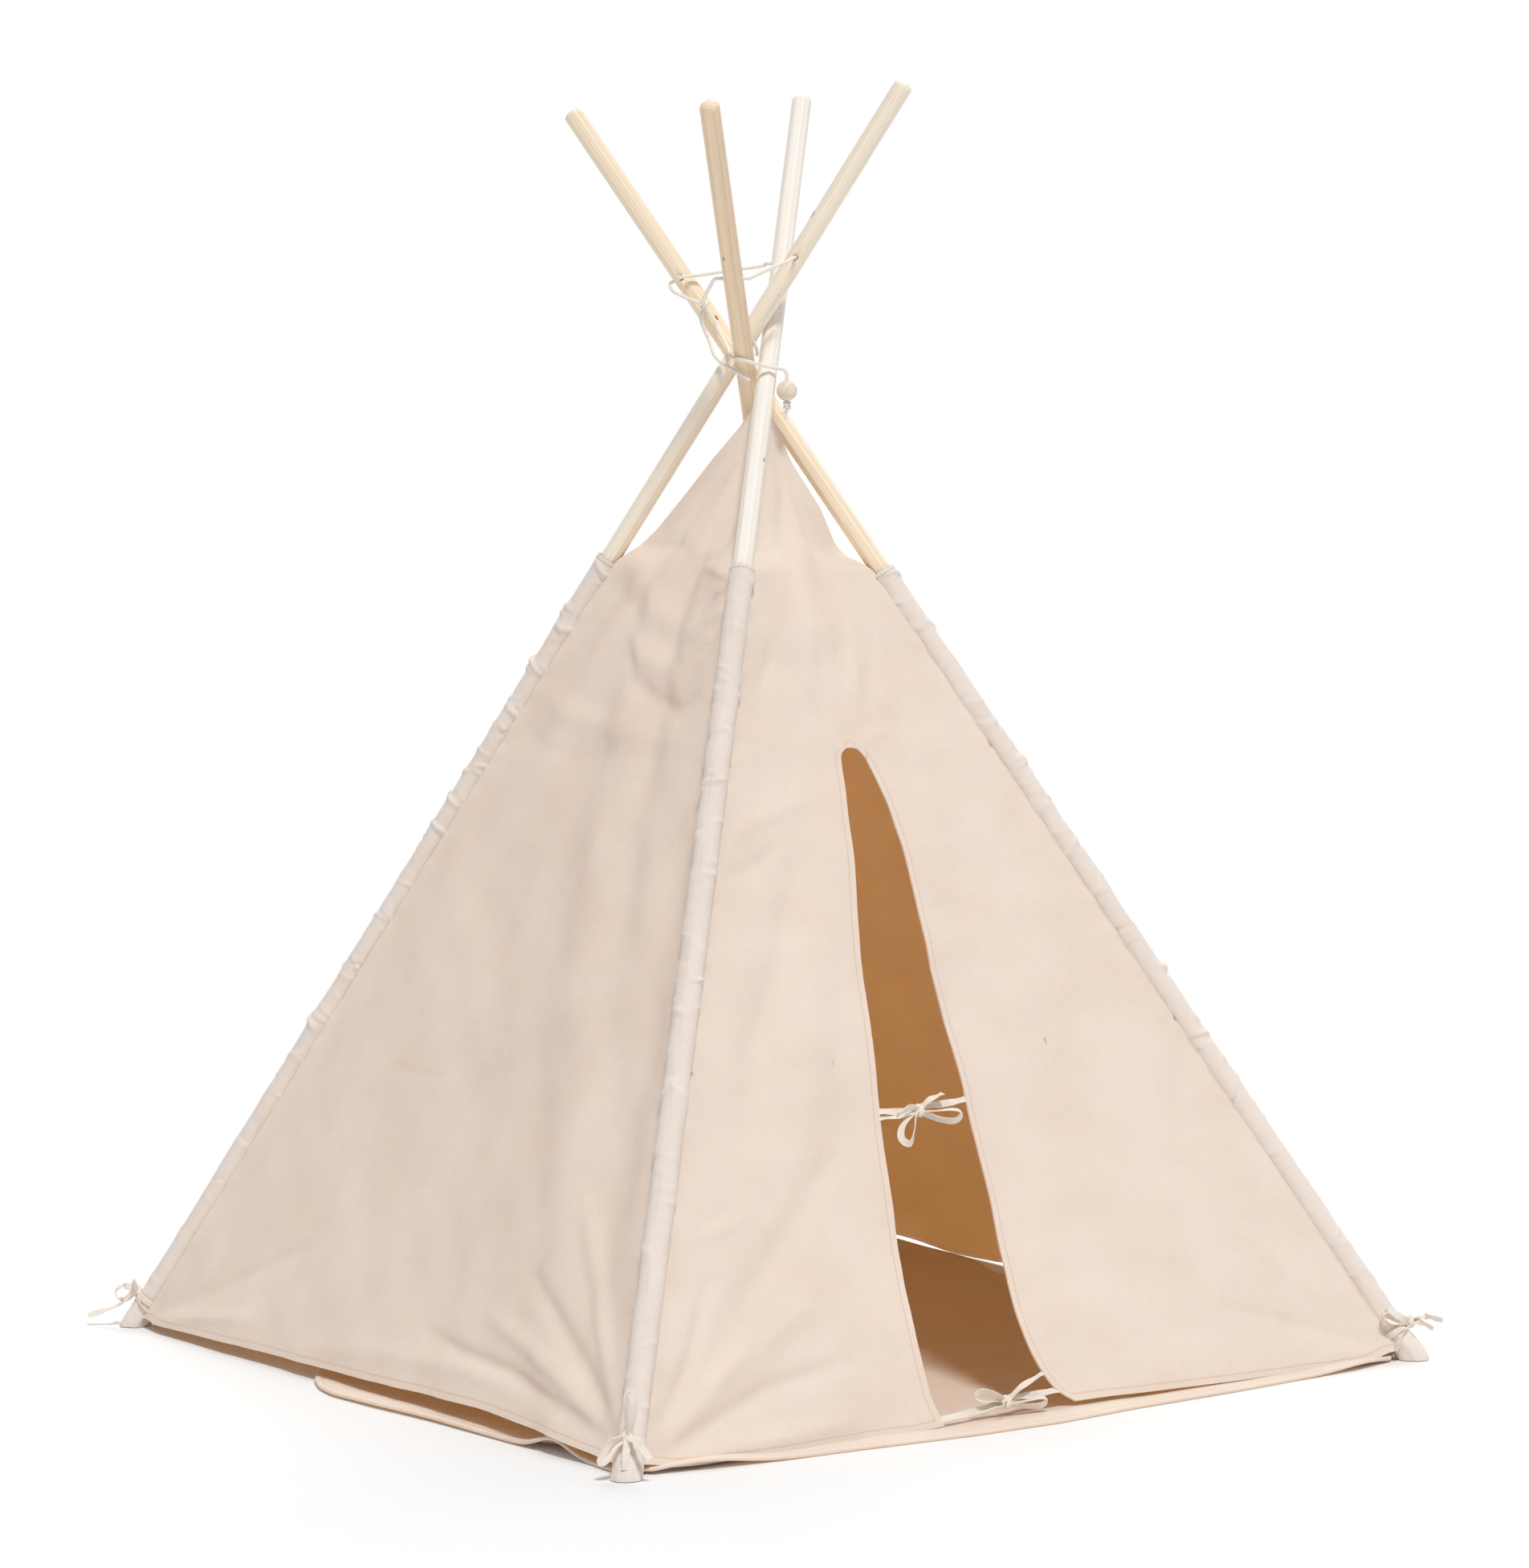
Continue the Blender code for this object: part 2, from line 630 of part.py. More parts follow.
def make_foot_tie(pole, look):
    """A tape round the outer side of the sleeve, tied in a bow that faces away from the tent."""
    radius = SLEEVE_BORE + SLEEVE_WALL + 2 * SEAM_GAP + TAPE / 2
    rings = []
    for angle in np.linspace(-FOOT_TIE_WRAP, FOOT_TIE_WRAP, 17):
        spoke = -math.cos(angle) * pole.inner_side + math.sin(angle) * pole.sideways
        rings.append(flat_ring(pole.at(FOOT_TIE_PLACE) + spoke * radius, pole.line, spoke))
    name = "foot_tie_" + pole.corner
    band = add_object(name + "_band", *loft(rings), look)
    centre = pole.at(FOOT_TIE_PLACE) - pole.inner_side * (radius + KNOT_SIZE[2])
    parts = bow_parts(name, FOOT_BOW_SHARES, centre, pole.sideways, UP, pole.outward, look)
    return fuse(name, [band] + parts, look)


# The lashing. Each route is in metres from the middle of the crossing, and runs clear of the poles
RING_ROUTE = [
    (-0.029, 0.057, 0.074), (-0.04, 0.044, 0.08), (-0.066, -0.006, 0.093), (-0.081, -0.04, 0.104),
    "back_right", (-0.052, -0.08, 0.108), (-0.02, -0.073, 0.118), (0.012, -0.064, 0.127),
    "back_left", (0.055, -0.024, 0.131), (0.065, -0.002, 0.129), (0.077, 0.012, 0.1265),
    "front_left", (0.05, 0.048, 0.122), (0.012, 0.06, 0.117), (-0.03, 0.071, 0.111),
    (-0.052, 0.076, 0.109),
    "front_right", (-0.026, 0.112, 0.107), (-0.04, 0.112, 0.103), (-0.049, 0.102, 0.098),
    (-0.053, 0.087, 0.091), (-0.046, 0.072, 0.084), (-0.034, 0.061, 0.077),
]
HOLE_SENSES = {"back_right": -1, "back_left": -1, "front_left": -1, "front_right": 1}
HOLE_REACH_SHARES = (-0.85, -0.62, 0.0, 0.62, 0.85)
WRAP_ROUTE = [
    (-0.029, 0.057, 0.074), (-0.021, 0.05, 0.058), (-0.018, 0.044, 0.045), (-0.025, 0.018, 0.028),
    (-0.031, 0.002, 0.019), (-0.038, -0.009, 0.0145), (-0.042, -0.02, 0.0115), (-0.0365, -0.0325, 0.0085),
    (-0.022, -0.042, 0.004), (-0.008, -0.0455, 0), (0.004, -0.05, -0.002), (0.01, -0.055, -0.004),
    (0.012, -0.058, -0.009), (0.012, -0.058, -0.016), (0.012, -0.058, -0.032), (0.012, -0.058, -0.045),
]
HITCH_ROUTE = [
    (-0.029, 0.057, 0.074), (-0.034, 0.058, 0.058), (-0.028, 0.056, 0.04), (-0.025, 0.053, 0.031),
    (-0.034, 0.03, 0.015), (-0.038, 0.01, 0.006), (-0.037, -0.008, -0.001), (-0.03, -0.024, -0.01),
    (-0.0235, -0.0315, -0.017),
]
TAIL_ROUTE = [(0.012, -0.058, -0.0468), (0.0115, -0.0575, -0.0558), (0.01, -0.057, -0.0638)]
TUCK_ROUTE = [
    (0.018, -0.062, 0.128), (0.0185, -0.057, 0.116), (0.014, -0.048, 0.092), (0.002, -0.037, 0.064),
    (-0.008, -0.026, 0.044), (-0.012, -0.021, 0.034), (-0.006, -0.0215, 0.02), (-0.005, -0.02, 0.013),
]


def tube(name, points, diameter, look):
    """A round cord along points, with filled ends."""
    curve = bpy.data.curves.new(name, "CURVE")
    curve.dimensions = "3D"
    curve.bevel_depth = diameter / 2
    curve.bevel_resolution = 2
    curve.use_fill_caps = True
    spline = curve.splines.new("POLY")
    spline.points.add(len(points) - 1)
    for place, p in zip(spline.points, points):
        place.co = (*map(float, p), 1)
    guide = bpy.data.objects.new(name + "_line", curve)
    bpy.context.scene.collection.objects.link(guide)
    bpy.context.view_layer.update()
    mesh = bpy.data.meshes.new_from_object(guide.evaluated_get(bpy.context.evaluated_depsgraph_get()))
    bpy.data.objects.remove(guide, do_unlink=True)
    points = [v.co[:] for v in mesh.vertices]
    faces = [tuple(p.vertices) for p in mesh.polygons]
    bpy.data.meshes.remove(mesh)
    obj = add_object(name, points, faces, look, True)
    weld = bmesh.new()
    weld.from_mesh(obj.data)
    bmesh.ops.remove_doubles(weld, verts=weld.verts, dist=diameter / 1000)
    bmesh.ops.recalc_face_normals(weld, faces=weld.faces)
    weld.to_mesh(obj.data)
    weld.free()
    return obj


def evenly(points, step):
    """The same line with its points a step apart."""
    p = np.asarray(points, float)
    along = np.concatenate([[0], np.cumsum(np.linalg.norm(np.diff(p, axis=0), axis=1))])
    at = np.linspace(0, along[-1], max(2, int(along[-1] / step) + 1))
    return np.stack([np.interp(at, along, p[:, i]) for i in range(3)], axis=1)


def route_points(route):
    """A route's places in the tent, with each named hole turned into a straight run through its pole."""
    points = []
    for place in route:
        if isinstance(place, str):
            pole = POLES[place]
            through = pole.sideways * HOLE_SENSES[place] * POLE_WIDTH
            for share in HOLE_REACH_SHARES:
                points.append(pole.at(hole_place()) + through * share)
        else:
            points.append(UP * CROSSING_HEIGHT + place)
    return points


def make_lashing(look):
    """One cord: a ring through the four poles, wraps round the crossing, and a tail with its end knot."""
    axes = np.eye(3)
    parts = [knot("lashing_cord_knot", route_points(RING_ROUTE)[0], axes, LASHING_KNOT_SIZE, look)]
    routes = {"ring": RING_ROUTE, "wrap": WRAP_ROUTE, "hitch": HITCH_ROUTE, "tuck": TUCK_ROUTE}
    for name, route in routes.items():
        line = evenly(curve_through(route_points(route), 8), CORD * 2.4)
        parts.append(tube("lashing_cord_" + name, line, CORD, look))
    end = bead_centre() - UP * (BEAD / 2 + SEAM_GAP + END_KNOT_SIZE[2])
    parts.append(knot("lashing_cord_end", end, axes, END_KNOT_SIZE, look))
    tail = evenly(curve_through(route_points(TAIL_ROUTE), 4), CORD * 1.2)
    parts.append(tube("lashing_cord_tail", tail, CORD, look))
    return fuse("lashing_cord", parts, look)


def bead_centre():
    """The bead hangs on the straight end of the wrap."""
    return route_points(WRAP_ROUTE)[-1] + UP * BEAD_RISE


def make_bead(look, count=14):
    """A turned wooden bead, bored for the cord."""
    centre = bead_centre()
    turn = np.arange(count) * 2 * math.pi / count
    level_ring = np.stack([np.cos(turn), np.sin(turn), 0 * turn], axis=1)
    rings = []
    for angle in np.linspace(-1, 1, 9) * math.acos(BEAD_BORE / BEAD):
        rings.append(centre + BEAD / 2 * (level_ring * math.cos(angle) + UP * math.sin(angle)))
    return add_object("lashing_bead", *hollow(rings, []), look, True)


# The mat


def corner_cut(pole):
    """How far along a side the mat starts, so that it clears the cuff, which leans over it."""
    slope = math.hypot(*pole.line[:2]) / pole.line[2]
    return math.sqrt(2) * (CUFF_REACH / pole.line[2] + MAT * slope + SEAM_GAP)


def mat_edge(start, end, turn, per_side):
    """One side of the mat, which bulges past the wall and waves a little."""
    side = unit(end.foot - start.foot)
    out = np.cross(side, UP)
    first = corner_cut(start)
    last = BASE_SIDE - corner_cut(end)
    points = []
    for u in np.linspace(0, 1, per_side):
        span = math.sin(math.pi * u)
        bulge = MAT_OVERHANG * span ** 0.6 + MAT_EDGE_WAVE * span * math.sin(5 * math.pi * u + turn)
        points.append(start.foot + side * (first + (last - first) * u) + out * bulge)
    return points


def make_mat(look, per_side=14):
    """A square mat. Each corner is cut to clear the foot cuff that stands there."""
    outline = []
    corners = list(MAT_CORNERS)
    for turn, (start, end) in enumerate(zip(corners, corners[1:] + corners[:1])):
        outline += mat_edge(POLES[start], POLES[end], turn, per_side)
    rings = [outline, [p + UP * MAT for p in outline]]
    return add_object("floor_mat", *loft(rings), look)


def main():
    """Builds every piece of the teepee."""
    clear_scene()
    pine = material("pine", (0.76, 0.60, 0.40), 0.5)
    canvas = material("canvas", (0.80, 0.70, 0.60), 0.9)
    tape = material("tape", (0.84, 0.77, 0.68), 0.85)
    cord = material("cord", (0.80, 0.74, 0.64), 0.85)
    for pole in POLES.values():
        make_pole(pole, pine)
        make_sleeve(pole, canvas)
        make_cuff(pole, canvas)
        make_foot_tie(pole, tape)
    for name, (left, right) in WALL_POLES.items():
        make_wall(name, POLES[left], POLES[right], WALL_FOLD_SHARES[name], canvas)
    door = Door()
    for side in (-1, 1):
        make_door_panel(door, side, canvas)
        make_door_flap(door, side, canvas)
    make_door_tie("door", door, DOOR_BOW_PLACE, DOOR_BOW_ASIDE, DOOR_BOW_SHARES, 2, tape)
    make_door_tie("threshold", door, THRESHOLD_BOW_PLACE, THRESHOLD_BOW_ASIDE, THRESHOLD_BOW_SHARES, 1, tape)
    make_lashing(cord)
    make_bead(pine)
    make_mat(canvas)


main()
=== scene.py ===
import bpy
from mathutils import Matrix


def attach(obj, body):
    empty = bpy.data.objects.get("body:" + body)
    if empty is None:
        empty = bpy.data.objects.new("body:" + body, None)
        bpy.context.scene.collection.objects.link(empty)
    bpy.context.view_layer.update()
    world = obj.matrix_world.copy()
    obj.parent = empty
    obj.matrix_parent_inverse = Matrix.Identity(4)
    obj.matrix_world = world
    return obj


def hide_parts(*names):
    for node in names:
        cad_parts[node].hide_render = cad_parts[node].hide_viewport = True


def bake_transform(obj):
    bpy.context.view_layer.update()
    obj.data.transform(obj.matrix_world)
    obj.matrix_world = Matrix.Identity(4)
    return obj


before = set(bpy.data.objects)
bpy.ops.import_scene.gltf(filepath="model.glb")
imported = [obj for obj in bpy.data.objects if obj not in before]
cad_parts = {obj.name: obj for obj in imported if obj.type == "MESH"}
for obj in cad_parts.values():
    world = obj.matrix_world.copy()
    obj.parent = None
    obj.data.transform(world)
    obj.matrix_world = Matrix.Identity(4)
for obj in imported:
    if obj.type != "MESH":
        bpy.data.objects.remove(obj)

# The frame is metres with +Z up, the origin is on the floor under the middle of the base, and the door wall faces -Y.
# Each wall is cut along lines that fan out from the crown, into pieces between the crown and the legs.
"""A children's play teepee of cotton canvas on four pine poles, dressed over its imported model.

The frame is metres with +Z up, the origin is on the floor under the middle of the base, and
the door wall faces -Y. Each wall is cut along lines that fan out from the crown, so that the
pieces bend between the crown and the legs when the poles fold.
"""

import logging
import math
from collections.abc import Callable
from dataclasses import dataclass, field, replace
from enum import Enum
from typing import Any

import bmesh
import bpy
import numpy as np
from bpy.types import Material, Node, NodeSocket, NodeTree, Object
from mathutils import Matrix

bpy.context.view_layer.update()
Array = np.ndarray
LOG = logging.getLogger("teepee")
UP = np.array([0.0, 0.0, 1.0])
MM = 0.001
WAVE_SCALE = 0.314  # a wave texture's scale times the metres from band to band: 2 pi over 20


# Small helpers


def fixed(value: Any) -> Any:
    """A dataclass field that starts as a table, which nothing changes."""
    return field(default_factory=lambda: value)


def unit(v: Array) -> Array:
    """The same directions, each divided by its length."""
    v = np.asarray(v, float)
    return v / np.maximum(np.linalg.norm(v, axis=-1, keepdims=True), 1e-12)


def smooth(x: Array) -> Array:
    """A step from 0 to 1 with level ends: 3 x squared less 2 x cubed."""
    x = np.clip(x, 0, 1)
    return x * x * (3 - 2 * x)


def level(direction: Array) -> Array:
    """The same way, but level with the floor."""
    return unit(np.asarray(direction) * [1, 1, 0])


def angles(count: int) -> Array:
    """Evenly spaced angles of a full turn."""
    return np.arange(count) * 2 * math.pi / count


def linear(code: str) -> tuple[float, float, float, float]:
    """Linear red, green, blue and full alpha from an sRGB hex code such as "#EBDDD0"."""
    shares = [int(code[i:i + 2], 16) / 255 for i in (1, 3, 5)]
    values = [s / 12.92 if s <= 0.04045 else ((s + 0.055) / 1.055) ** 2.4 for s in shares]
    return (*values, 1.0)


def curve_through(route: Array, per_step: int) -> Array:
    """Points on a smooth curve through a route's points: each step is a cubic whose slope at a point is half
    the way between the point's neighbours (Catmull-Rom)."""
    r = np.asarray(route, float)
    r = np.concatenate([[2 * r[0] - r[1]], r, [2 * r[-1] - r[-2]]])
    before, start, end, after = (r[i:len(r) - 3 + i, None, :] for i in range(4))
    t = (np.arange(per_step) / per_step)[None, :, None]
    slope, end_slope = (end - before) / 2, (after - start) / 2
    bend = 3 * (end - start) - 2 * slope - end_slope
    twist = 2 * (start - end) + slope + end_slope
    points = start + slope * t + bend * t ** 2 + twist * t ** 3
    return np.concatenate([points.reshape(-1, 3), r[-2][None]])


def lengths_along(path: Array) -> Array:
    """The distance of each point of a path from its start."""
    return np.concatenate([[0], np.cumsum(np.linalg.norm(np.diff(path, axis=0), axis=1))])


def evenly(path: Array, step: float) -> Array:
    """The same path with its points a step apart."""
    along = lengths_along(path)
    at = np.linspace(0, along[-1], max(3, int(along[-1] / step) + 1))
    return np.stack([np.interp(at, along, path[:, i]) for i in range(3)], axis=1)


def eased(x: Array, knots: tuple, fine: Array, window: int, mode: str, pad: int = 0) -> Array:
    """Values in metres between knots of a place and mm, averaged over a window of the fine places so that no
    corner shows; the mode and the padding say how the averaging treats the two ends."""
    spots, share = np.array(knots), np.hanning(window)
    values = np.pad(np.interp(fine, spots[:, 0], spots[:, 1]), pad, "edge")
    return np.interp(x, fine, np.convolve(values, share / share.sum(), mode)) * MM


def between(ends: Array, u: Array) -> Array:
    """Points between the two edges of a wall, at shares across."""
    return ends[0][:, None] + (ends[1] - ends[0])[:, None] * u[..., None]


def shoelace(x: Array, y: Array) -> float:
    """The signed area inside closed outlines, whose points follow each other along the last axis."""
    return np.sum(x * np.roll(y, -1, axis=-1) - np.roll(x, -1, axis=-1) * y) / 2


def carried_frame(path: Array) -> tuple[Array, Array]:
    """Two directions across a path at each point, carried along it with as little turn as possible."""
    tangent = unit(np.gradient(path, axis=0))
    sides = [unit(np.cross(tangent[0], UP if abs(tangent[0][2]) < 0.9 else [1.0, 0, 0]))]
    for way in tangent[1:]:
        sides.append(unit(sides[-1] - way * (sides[-1] @ way)))
    side = np.array(sides)
    return side, np.cross(tangent, side)


def ripple(x: Array, y: Array, wavelength: float, seed: int, waves: int = 14) -> Array:
    """Soft unevenness of about one unit: sine waves that run every way, with seeded directions and starts.

    Args:
        x: the place across, in metres.
        y: the place up.
        wavelength: the middle length of the waves.
        seed: the pattern's number.
        waves: how many waves are added.

    Returns:
        The heights.
    """
    chance = np.random.default_rng(seed)
    angle = chance.uniform(0, math.pi, waves)
    size = 2 * math.pi / (wavelength * chance.uniform(0.7, 1.5, waves))
    start = chance.uniform(0, 2 * math.pi, waves)
    total = np.zeros(np.broadcast(x, y).shape)
    for a, k, s in zip(angle, size, start):
        total += np.sin(k * (x * math.cos(a) + y * math.sin(a)) + s)
    return total / math.sqrt(waves / 2)


# Nodes


def add_node(tree: NodeTree, kind: str, settings: dict[str, Any] | None = None,
             inputs: dict[Any, Any] | None = None) -> Node:
    """One shader node with its settings and links.

    Args:
        tree: the node tree that gets it.
        kind: the node's type, without the words that all shader nodes begin with.
        settings: the node's own properties.
        inputs: for each input by its name or place a value, an output to link, or a node to link
            by its first output.

    Returns:
        The node.
    """
    node = tree.nodes.new("ShaderNode" + kind)
    for key, value in (settings or {}).items():
        setattr(node, key, value)
    for key, value in (inputs or {}).items():
        value = value.outputs[0] if isinstance(value, Node) else value
        if isinstance(value, NodeSocket):
            tree.links.new(value, node.inputs[key])
        else:
            node.inputs[key].default_value = value
    return node


def attribute(tree: NodeTree, name: str, output: str = "Vector") -> NodeSocket:
    """What the mesh says at each point under an attribute's name."""
    return add_node(tree, "Attribute", {"attribute_name": name}).outputs[output]


def maths(tree: NodeTree, operation: str, *values: Any) -> Node:
    """A maths node over one, two or three values."""
    return add_node(tree, "Math", {"operation": operation}, dict(enumerate(values)))


def noise(tree: NodeTree, place: Any, scale: float, detail: float) -> Node:
    """A noise pattern at a place."""
    return add_node(tree, "TexNoise", inputs={"Vector": place, "Scale": scale, "Detail": detail})


def spread(tree: NodeTree, value: Any, *ends: float) -> Node:
    """A value between two ends, drawn out to 0 and 1 or to a third and fourth end."""
    return add_node(tree, "MapRange", inputs={0: value, **dict(enumerate(ends, 1))})


def mix(tree: NodeTree, share: Any, *colours: Any) -> NodeSocket:
    """Two colours, each a hex code or an output, mixed by a share."""
    ends = {6 + i: linear(c) if isinstance(c, str) else c for i, c in enumerate(colours)}
    return add_node(tree, "Mix", {"data_type": "RGBA"}, {0: share, **ends}).outputs[2]


def seen_rays(tree: NodeTree) -> Node:
    """A value of 1 for what the camera sees straight, in a mirror or through glass."""
    path = add_node(tree, "LightPath").outputs
    both = maths(tree, "MAXIMUM", path["Is Camera Ray"], path["Is Glossy Ray"])
    return maths(tree, "MAXIMUM", both, path["Is Transmission Ray"])


def new_material(name: str, roughness: float,
                 specular: float = 0.5) -> tuple[Material, NodeTree, Node]:
    """A material, its node tree and its main shader."""
    material = bpy.data.materials.new(name)
    material.use_nodes = True
    shader = material.node_tree.nodes["Principled BSDF"]
    shader.inputs["Roughness"].default_value = roughness
    shader.inputs["Specular IOR Level"].default_value = specular
    return material, material.node_tree, shader


def dress(tree: NodeTree, shader: Node, colour: NodeSocket, height: Any,
          strength: float, depth: float) -> None:
    """Gives a shader its colour, and a bump from a height, a strength and a depth in metres."""
    bump = add_node(tree, "Bump", inputs={"Height": height, "Strength": strength, "Distance": depth})
    tree.links.new(colour, shader.inputs["Base Color"])
    tree.links.new(bump.outputs[0], shader.inputs["Normal"])


# Meshes


def add_mesh(name: str, points: Array, polygons: list, finish: Material,
             attributes: dict[str, Array] | None = None, normals: Array | None = None) -> Object:
    """A smooth mesh object at the origin.

    Args:
        name: the object's name.
        points: the vertices, in metres.
        polygons: arrays of faces, each array with one row for each face.
        finish: its material.
        attributes: a number or a vector at each vertex, by name.
        normals: a direction for each corner of each face, in the faces' order.

    Returns:
        The object, linked to the scene.
    """
    mesh = bpy.data.meshes.new(name)
    loops = np.concatenate([np.asarray(p, np.int32).ravel() for p in polygons])
    sizes = np.concatenate([np.full(len(p), np.asarray(p).shape[1], np.int32) for p in polygons])
    mesh.vertices.add(len(points))
    mesh.vertices.foreach_set("co", np.asarray(points, np.float32).ravel())
    mesh.loops.add(len(loops))
    mesh.loops.foreach_set("vertex_index", loops)
    mesh.polygons.add(len(sizes))
    mesh.polygons.foreach_set("loop_start", np.concatenate([[0], np.cumsum(sizes)[:-1]]).astype(np.int32))
    mesh.update(calc_edges=True)
    mesh.validate()
    for key, values in (attributes or {}).items():
        vector = np.ndim(values) == 2
        layer = mesh.attributes.new(key, "FLOAT_VECTOR" if vector else "FLOAT", "POINT")
        layer.data.foreach_set("vector" if vector else "value", np.asarray(values, np.float32).ravel())
    mesh.shade_smooth()
    if normals is not None:
        mesh.normals_split_custom_set(normals.tolist())
    mesh.materials.append(finish)
    return add_object(name, mesh)


def add_object(name: str, data: Any) -> Object:
    """An object for a mesh, a lamp or a camera, linked to the scene."""
    obj = bpy.data.objects.new(name, data)
    bpy.context.scene.collection.objects.link(obj)
    return obj


def stand_for(obj: Object, node: str, body: str = "") -> None:
    """Says which CAD node a piece stands for, and the body that it rides on if there is one."""
    if body:
        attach(obj, body)
    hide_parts(node)
    LOG.info("%s: %d points", obj.name, len(obj.data.vertices))


def as_matrix(*columns: Array) -> Matrix:
    """A placing from its three directions and its origin."""
    return Matrix([[c[i] for c in columns] for i in range(3)] + [[0, 0, 0, 1]])


def grid_faces(rows: int, columns: int, wrap: bool = False) -> Array:
    """The quads of a grid of points, each facing the side that across x up gives; wrap joins the last column
    to the first."""
    a = np.arange(rows * columns).reshape(rows, columns)
    b = np.roll(a, -1, axis=1)
    if not wrap:
        a, b = a[:, :-1], b[:, :-1]
    return np.stack([a[:-1], b[:-1], b[1:], a[1:]], axis=-1).reshape(-1, 4)


def add_tube(name: str, rings: Array, finish: Material,
             attributes: dict[str, Array] | None = None) -> Object:
    """A closed body through rings of points (rings x points x 3), with each end ring filled."""
    count, around = rings.shape[:2]
    ends = [np.arange(around)[::-1][None], (count - 1) * around + np.arange(around)[None]]
    return add_mesh(name, rings.reshape(-1, 3), [grid_faces(count, around, wrap=True), *ends], finish, attributes)


def stacked(*parts: Any) -> Array:
    """Rows of the parts' values side by side, each part widened to the same grid."""
    return np.stack(np.broadcast_arrays(*parts), axis=-1).reshape(-1, len(parts))


def read(items: Any, key: str, kind: type = np.float32, width: int = 3) -> Array:
    """One property of every item of a mesh, a row for each."""
    values = np.empty((len(items), width), kind)
    items.foreach_get(key, values.ravel())
    return values


@dataclass
class Sheet:
    """An open cloth surface with what its shell and its finish need at each point."""

    points: Array
    normals: Array
    cloth: Array  # across, up, and the distance from the nearest sewn edge, in metres
    sewing: Array  # the distance along that edge, the distance from the sleeve, and zero
    polygons: list

    @classmethod
    def of_surface(cls, surface: Callable, across: Array, h: Array, step: float, seam: Callable) -> "Sheet":
        """A sheet from a surface's formula, on a grid with rows up and columns across.

        The normals are the slope across times the slope up, each from two near points of the
        formula, so that sheets of one surface agree along their common line.

        Args:
            surface: gives points and the cloth's own coordinates at places across and up.
            across: the places across, rows x columns.
            h: the places up, one for each row.
            step: the small step across that the slope is taken over.
            seam: gives the distance from the nearest sewn edge, the run along it and the distance
                from the sleeve, from the places across and the cloth's own coordinates.

        Returns:
            The sheet.
        """
        grid, x, y = surface(across, h)
        rise = np.where(h > 1, -0.002, 0.002)
        beside, above = surface(across + step, h)[0] - grid, surface(across, h + rise)[0] - grid
        normals = unit(np.cross(beside, above * np.sign(rise)[:, None, None]))
        away, run, join = seam(across, x, y)
        return cls(grid.reshape(-1, 3), normals.reshape(-1, 3), stacked(x, y, away), stacked(run, join, 0.0),
                   [grid_faces(*grid.shape[:2])])

    @classmethod
    def of_tube(cls, grid: Array, across: Array, up: Array, seam: Array) -> "Sheet":
        """A sheet from rings of points round a pole, from the cloth's own coordinates across and up and the
        distance from the nearest sewn edge."""
        slope = np.roll(grid, -1, axis=1) - np.roll(grid, 1, axis=1)
        normals = unit(np.cross(slope, np.gradient(grid, axis=0)))
        return cls(grid.reshape(-1, 3), normals.reshape(-1, 3), stacked(across, up, seam),
                   stacked(across, 0 * up + 1, 0.0), [grid_faces(*grid.shape[:2], wrap=True)])

    def flat_size(self) -> tuple[float, float, float]:
        """The width and length of the smallest oblong that the flat piece is cut from, and the piece's area."""
        area = sum(shoelace(*(self.cloth[faces, i] for i in (0, 1))) for faces in self.polygons)
        used = self.cloth[np.unique(np.concatenate([f.ravel() for f in self.polygons])), :2]
        angle = np.radians(np.arange(0, 90, 3))
        turned = [np.ptp(used @ np.array([[c, -s], [s, c]]), axis=0) for c, s in zip(np.cos(angle), np.sin(angle))]
        spans = min(turned, key=np.prod)
        return float(spans[0]), float(spans[1]), float(abs(area))

    def cut(self, planes: list[tuple[Array, Array]]) -> "Sheet":
        """The part of the sheet on the side of every plane that its normal points to.

        Args:
            planes: a point and a normal for each plane.

        Returns:
            The part, with its values worked out along the cuts.
        """
        mesh = bpy.data.meshes.new("cut")
        mesh.from_pydata(self.points, [], np.concatenate(self.polygons))
        carried = {"way": self.normals, "cloth": self.cloth, "sewing": self.sewing}
        for key, values in carried.items():
            layer = mesh.attributes.new(key, "FLOAT_VECTOR", "POINT")
            layer.data.foreach_set("vector", np.asarray(values, np.float32).ravel())
        whole = bmesh.new()
        whole.from_mesh(mesh)
        for point, normal in planes:
            bmesh.ops.bisect_plane(whole, geom=whole.verts[:] + whole.edges[:] + whole.faces[:], dist=1e-6,
                                   plane_co=tuple(point), plane_no=tuple(normal), clear_inner=True)
        bmesh.ops.triangulate(whole, faces=[f for f in whole.faces if len(f.verts) > 4])
        whole.to_mesh(mesh)
        whole.free()
        points = read(mesh.vertices, "co").astype(float)
        way, cloth, sewing = (read(mesh.attributes[key].data, "vector").astype(float) for key in carried)
        sizes = read(mesh.polygons, "loop_total", np.int32, 1).ravel()
        loops = read(mesh.loops, "vertex_index", np.int32, 1).ravel()
        starts = np.concatenate([[0], np.cumsum(sizes)[:-1]])
        polygons = [loops[starts[sizes == size][:, None] + np.arange(size)] for size in (3, 4) if np.any(sizes == size)]
        bpy.data.meshes.remove(mesh)
        return Sheet(points, unit(way), cloth, sewing, polygons)

    def shell(self, name: str, finish: Material, thickness: float, hem: float = 0.0,
              hem_width: float = 0.012) -> Object:
        """A closed cloth of real thickness about the sheet, thicker where an edge is turned in.

        A point moves out and in along its normal by half the thickness, which grows by the hem's
        extra within the hem's width of a sewn edge. A rim joins the two sides.

        Args:
            name: the object's name.
            finish: its material.
            thickness: the cloth's thickness.
            hem: what the turned edge adds.
            hem_width: how wide the turned edge is.

        Returns:
            The object.
        """
        half = thickness / 2 + hem / 2 * smooth((hem_width - self.cloth[:, 2]) / 0.002 + 0.5)
        shift = self.normals * half[:, None]
        n = len(self.points)
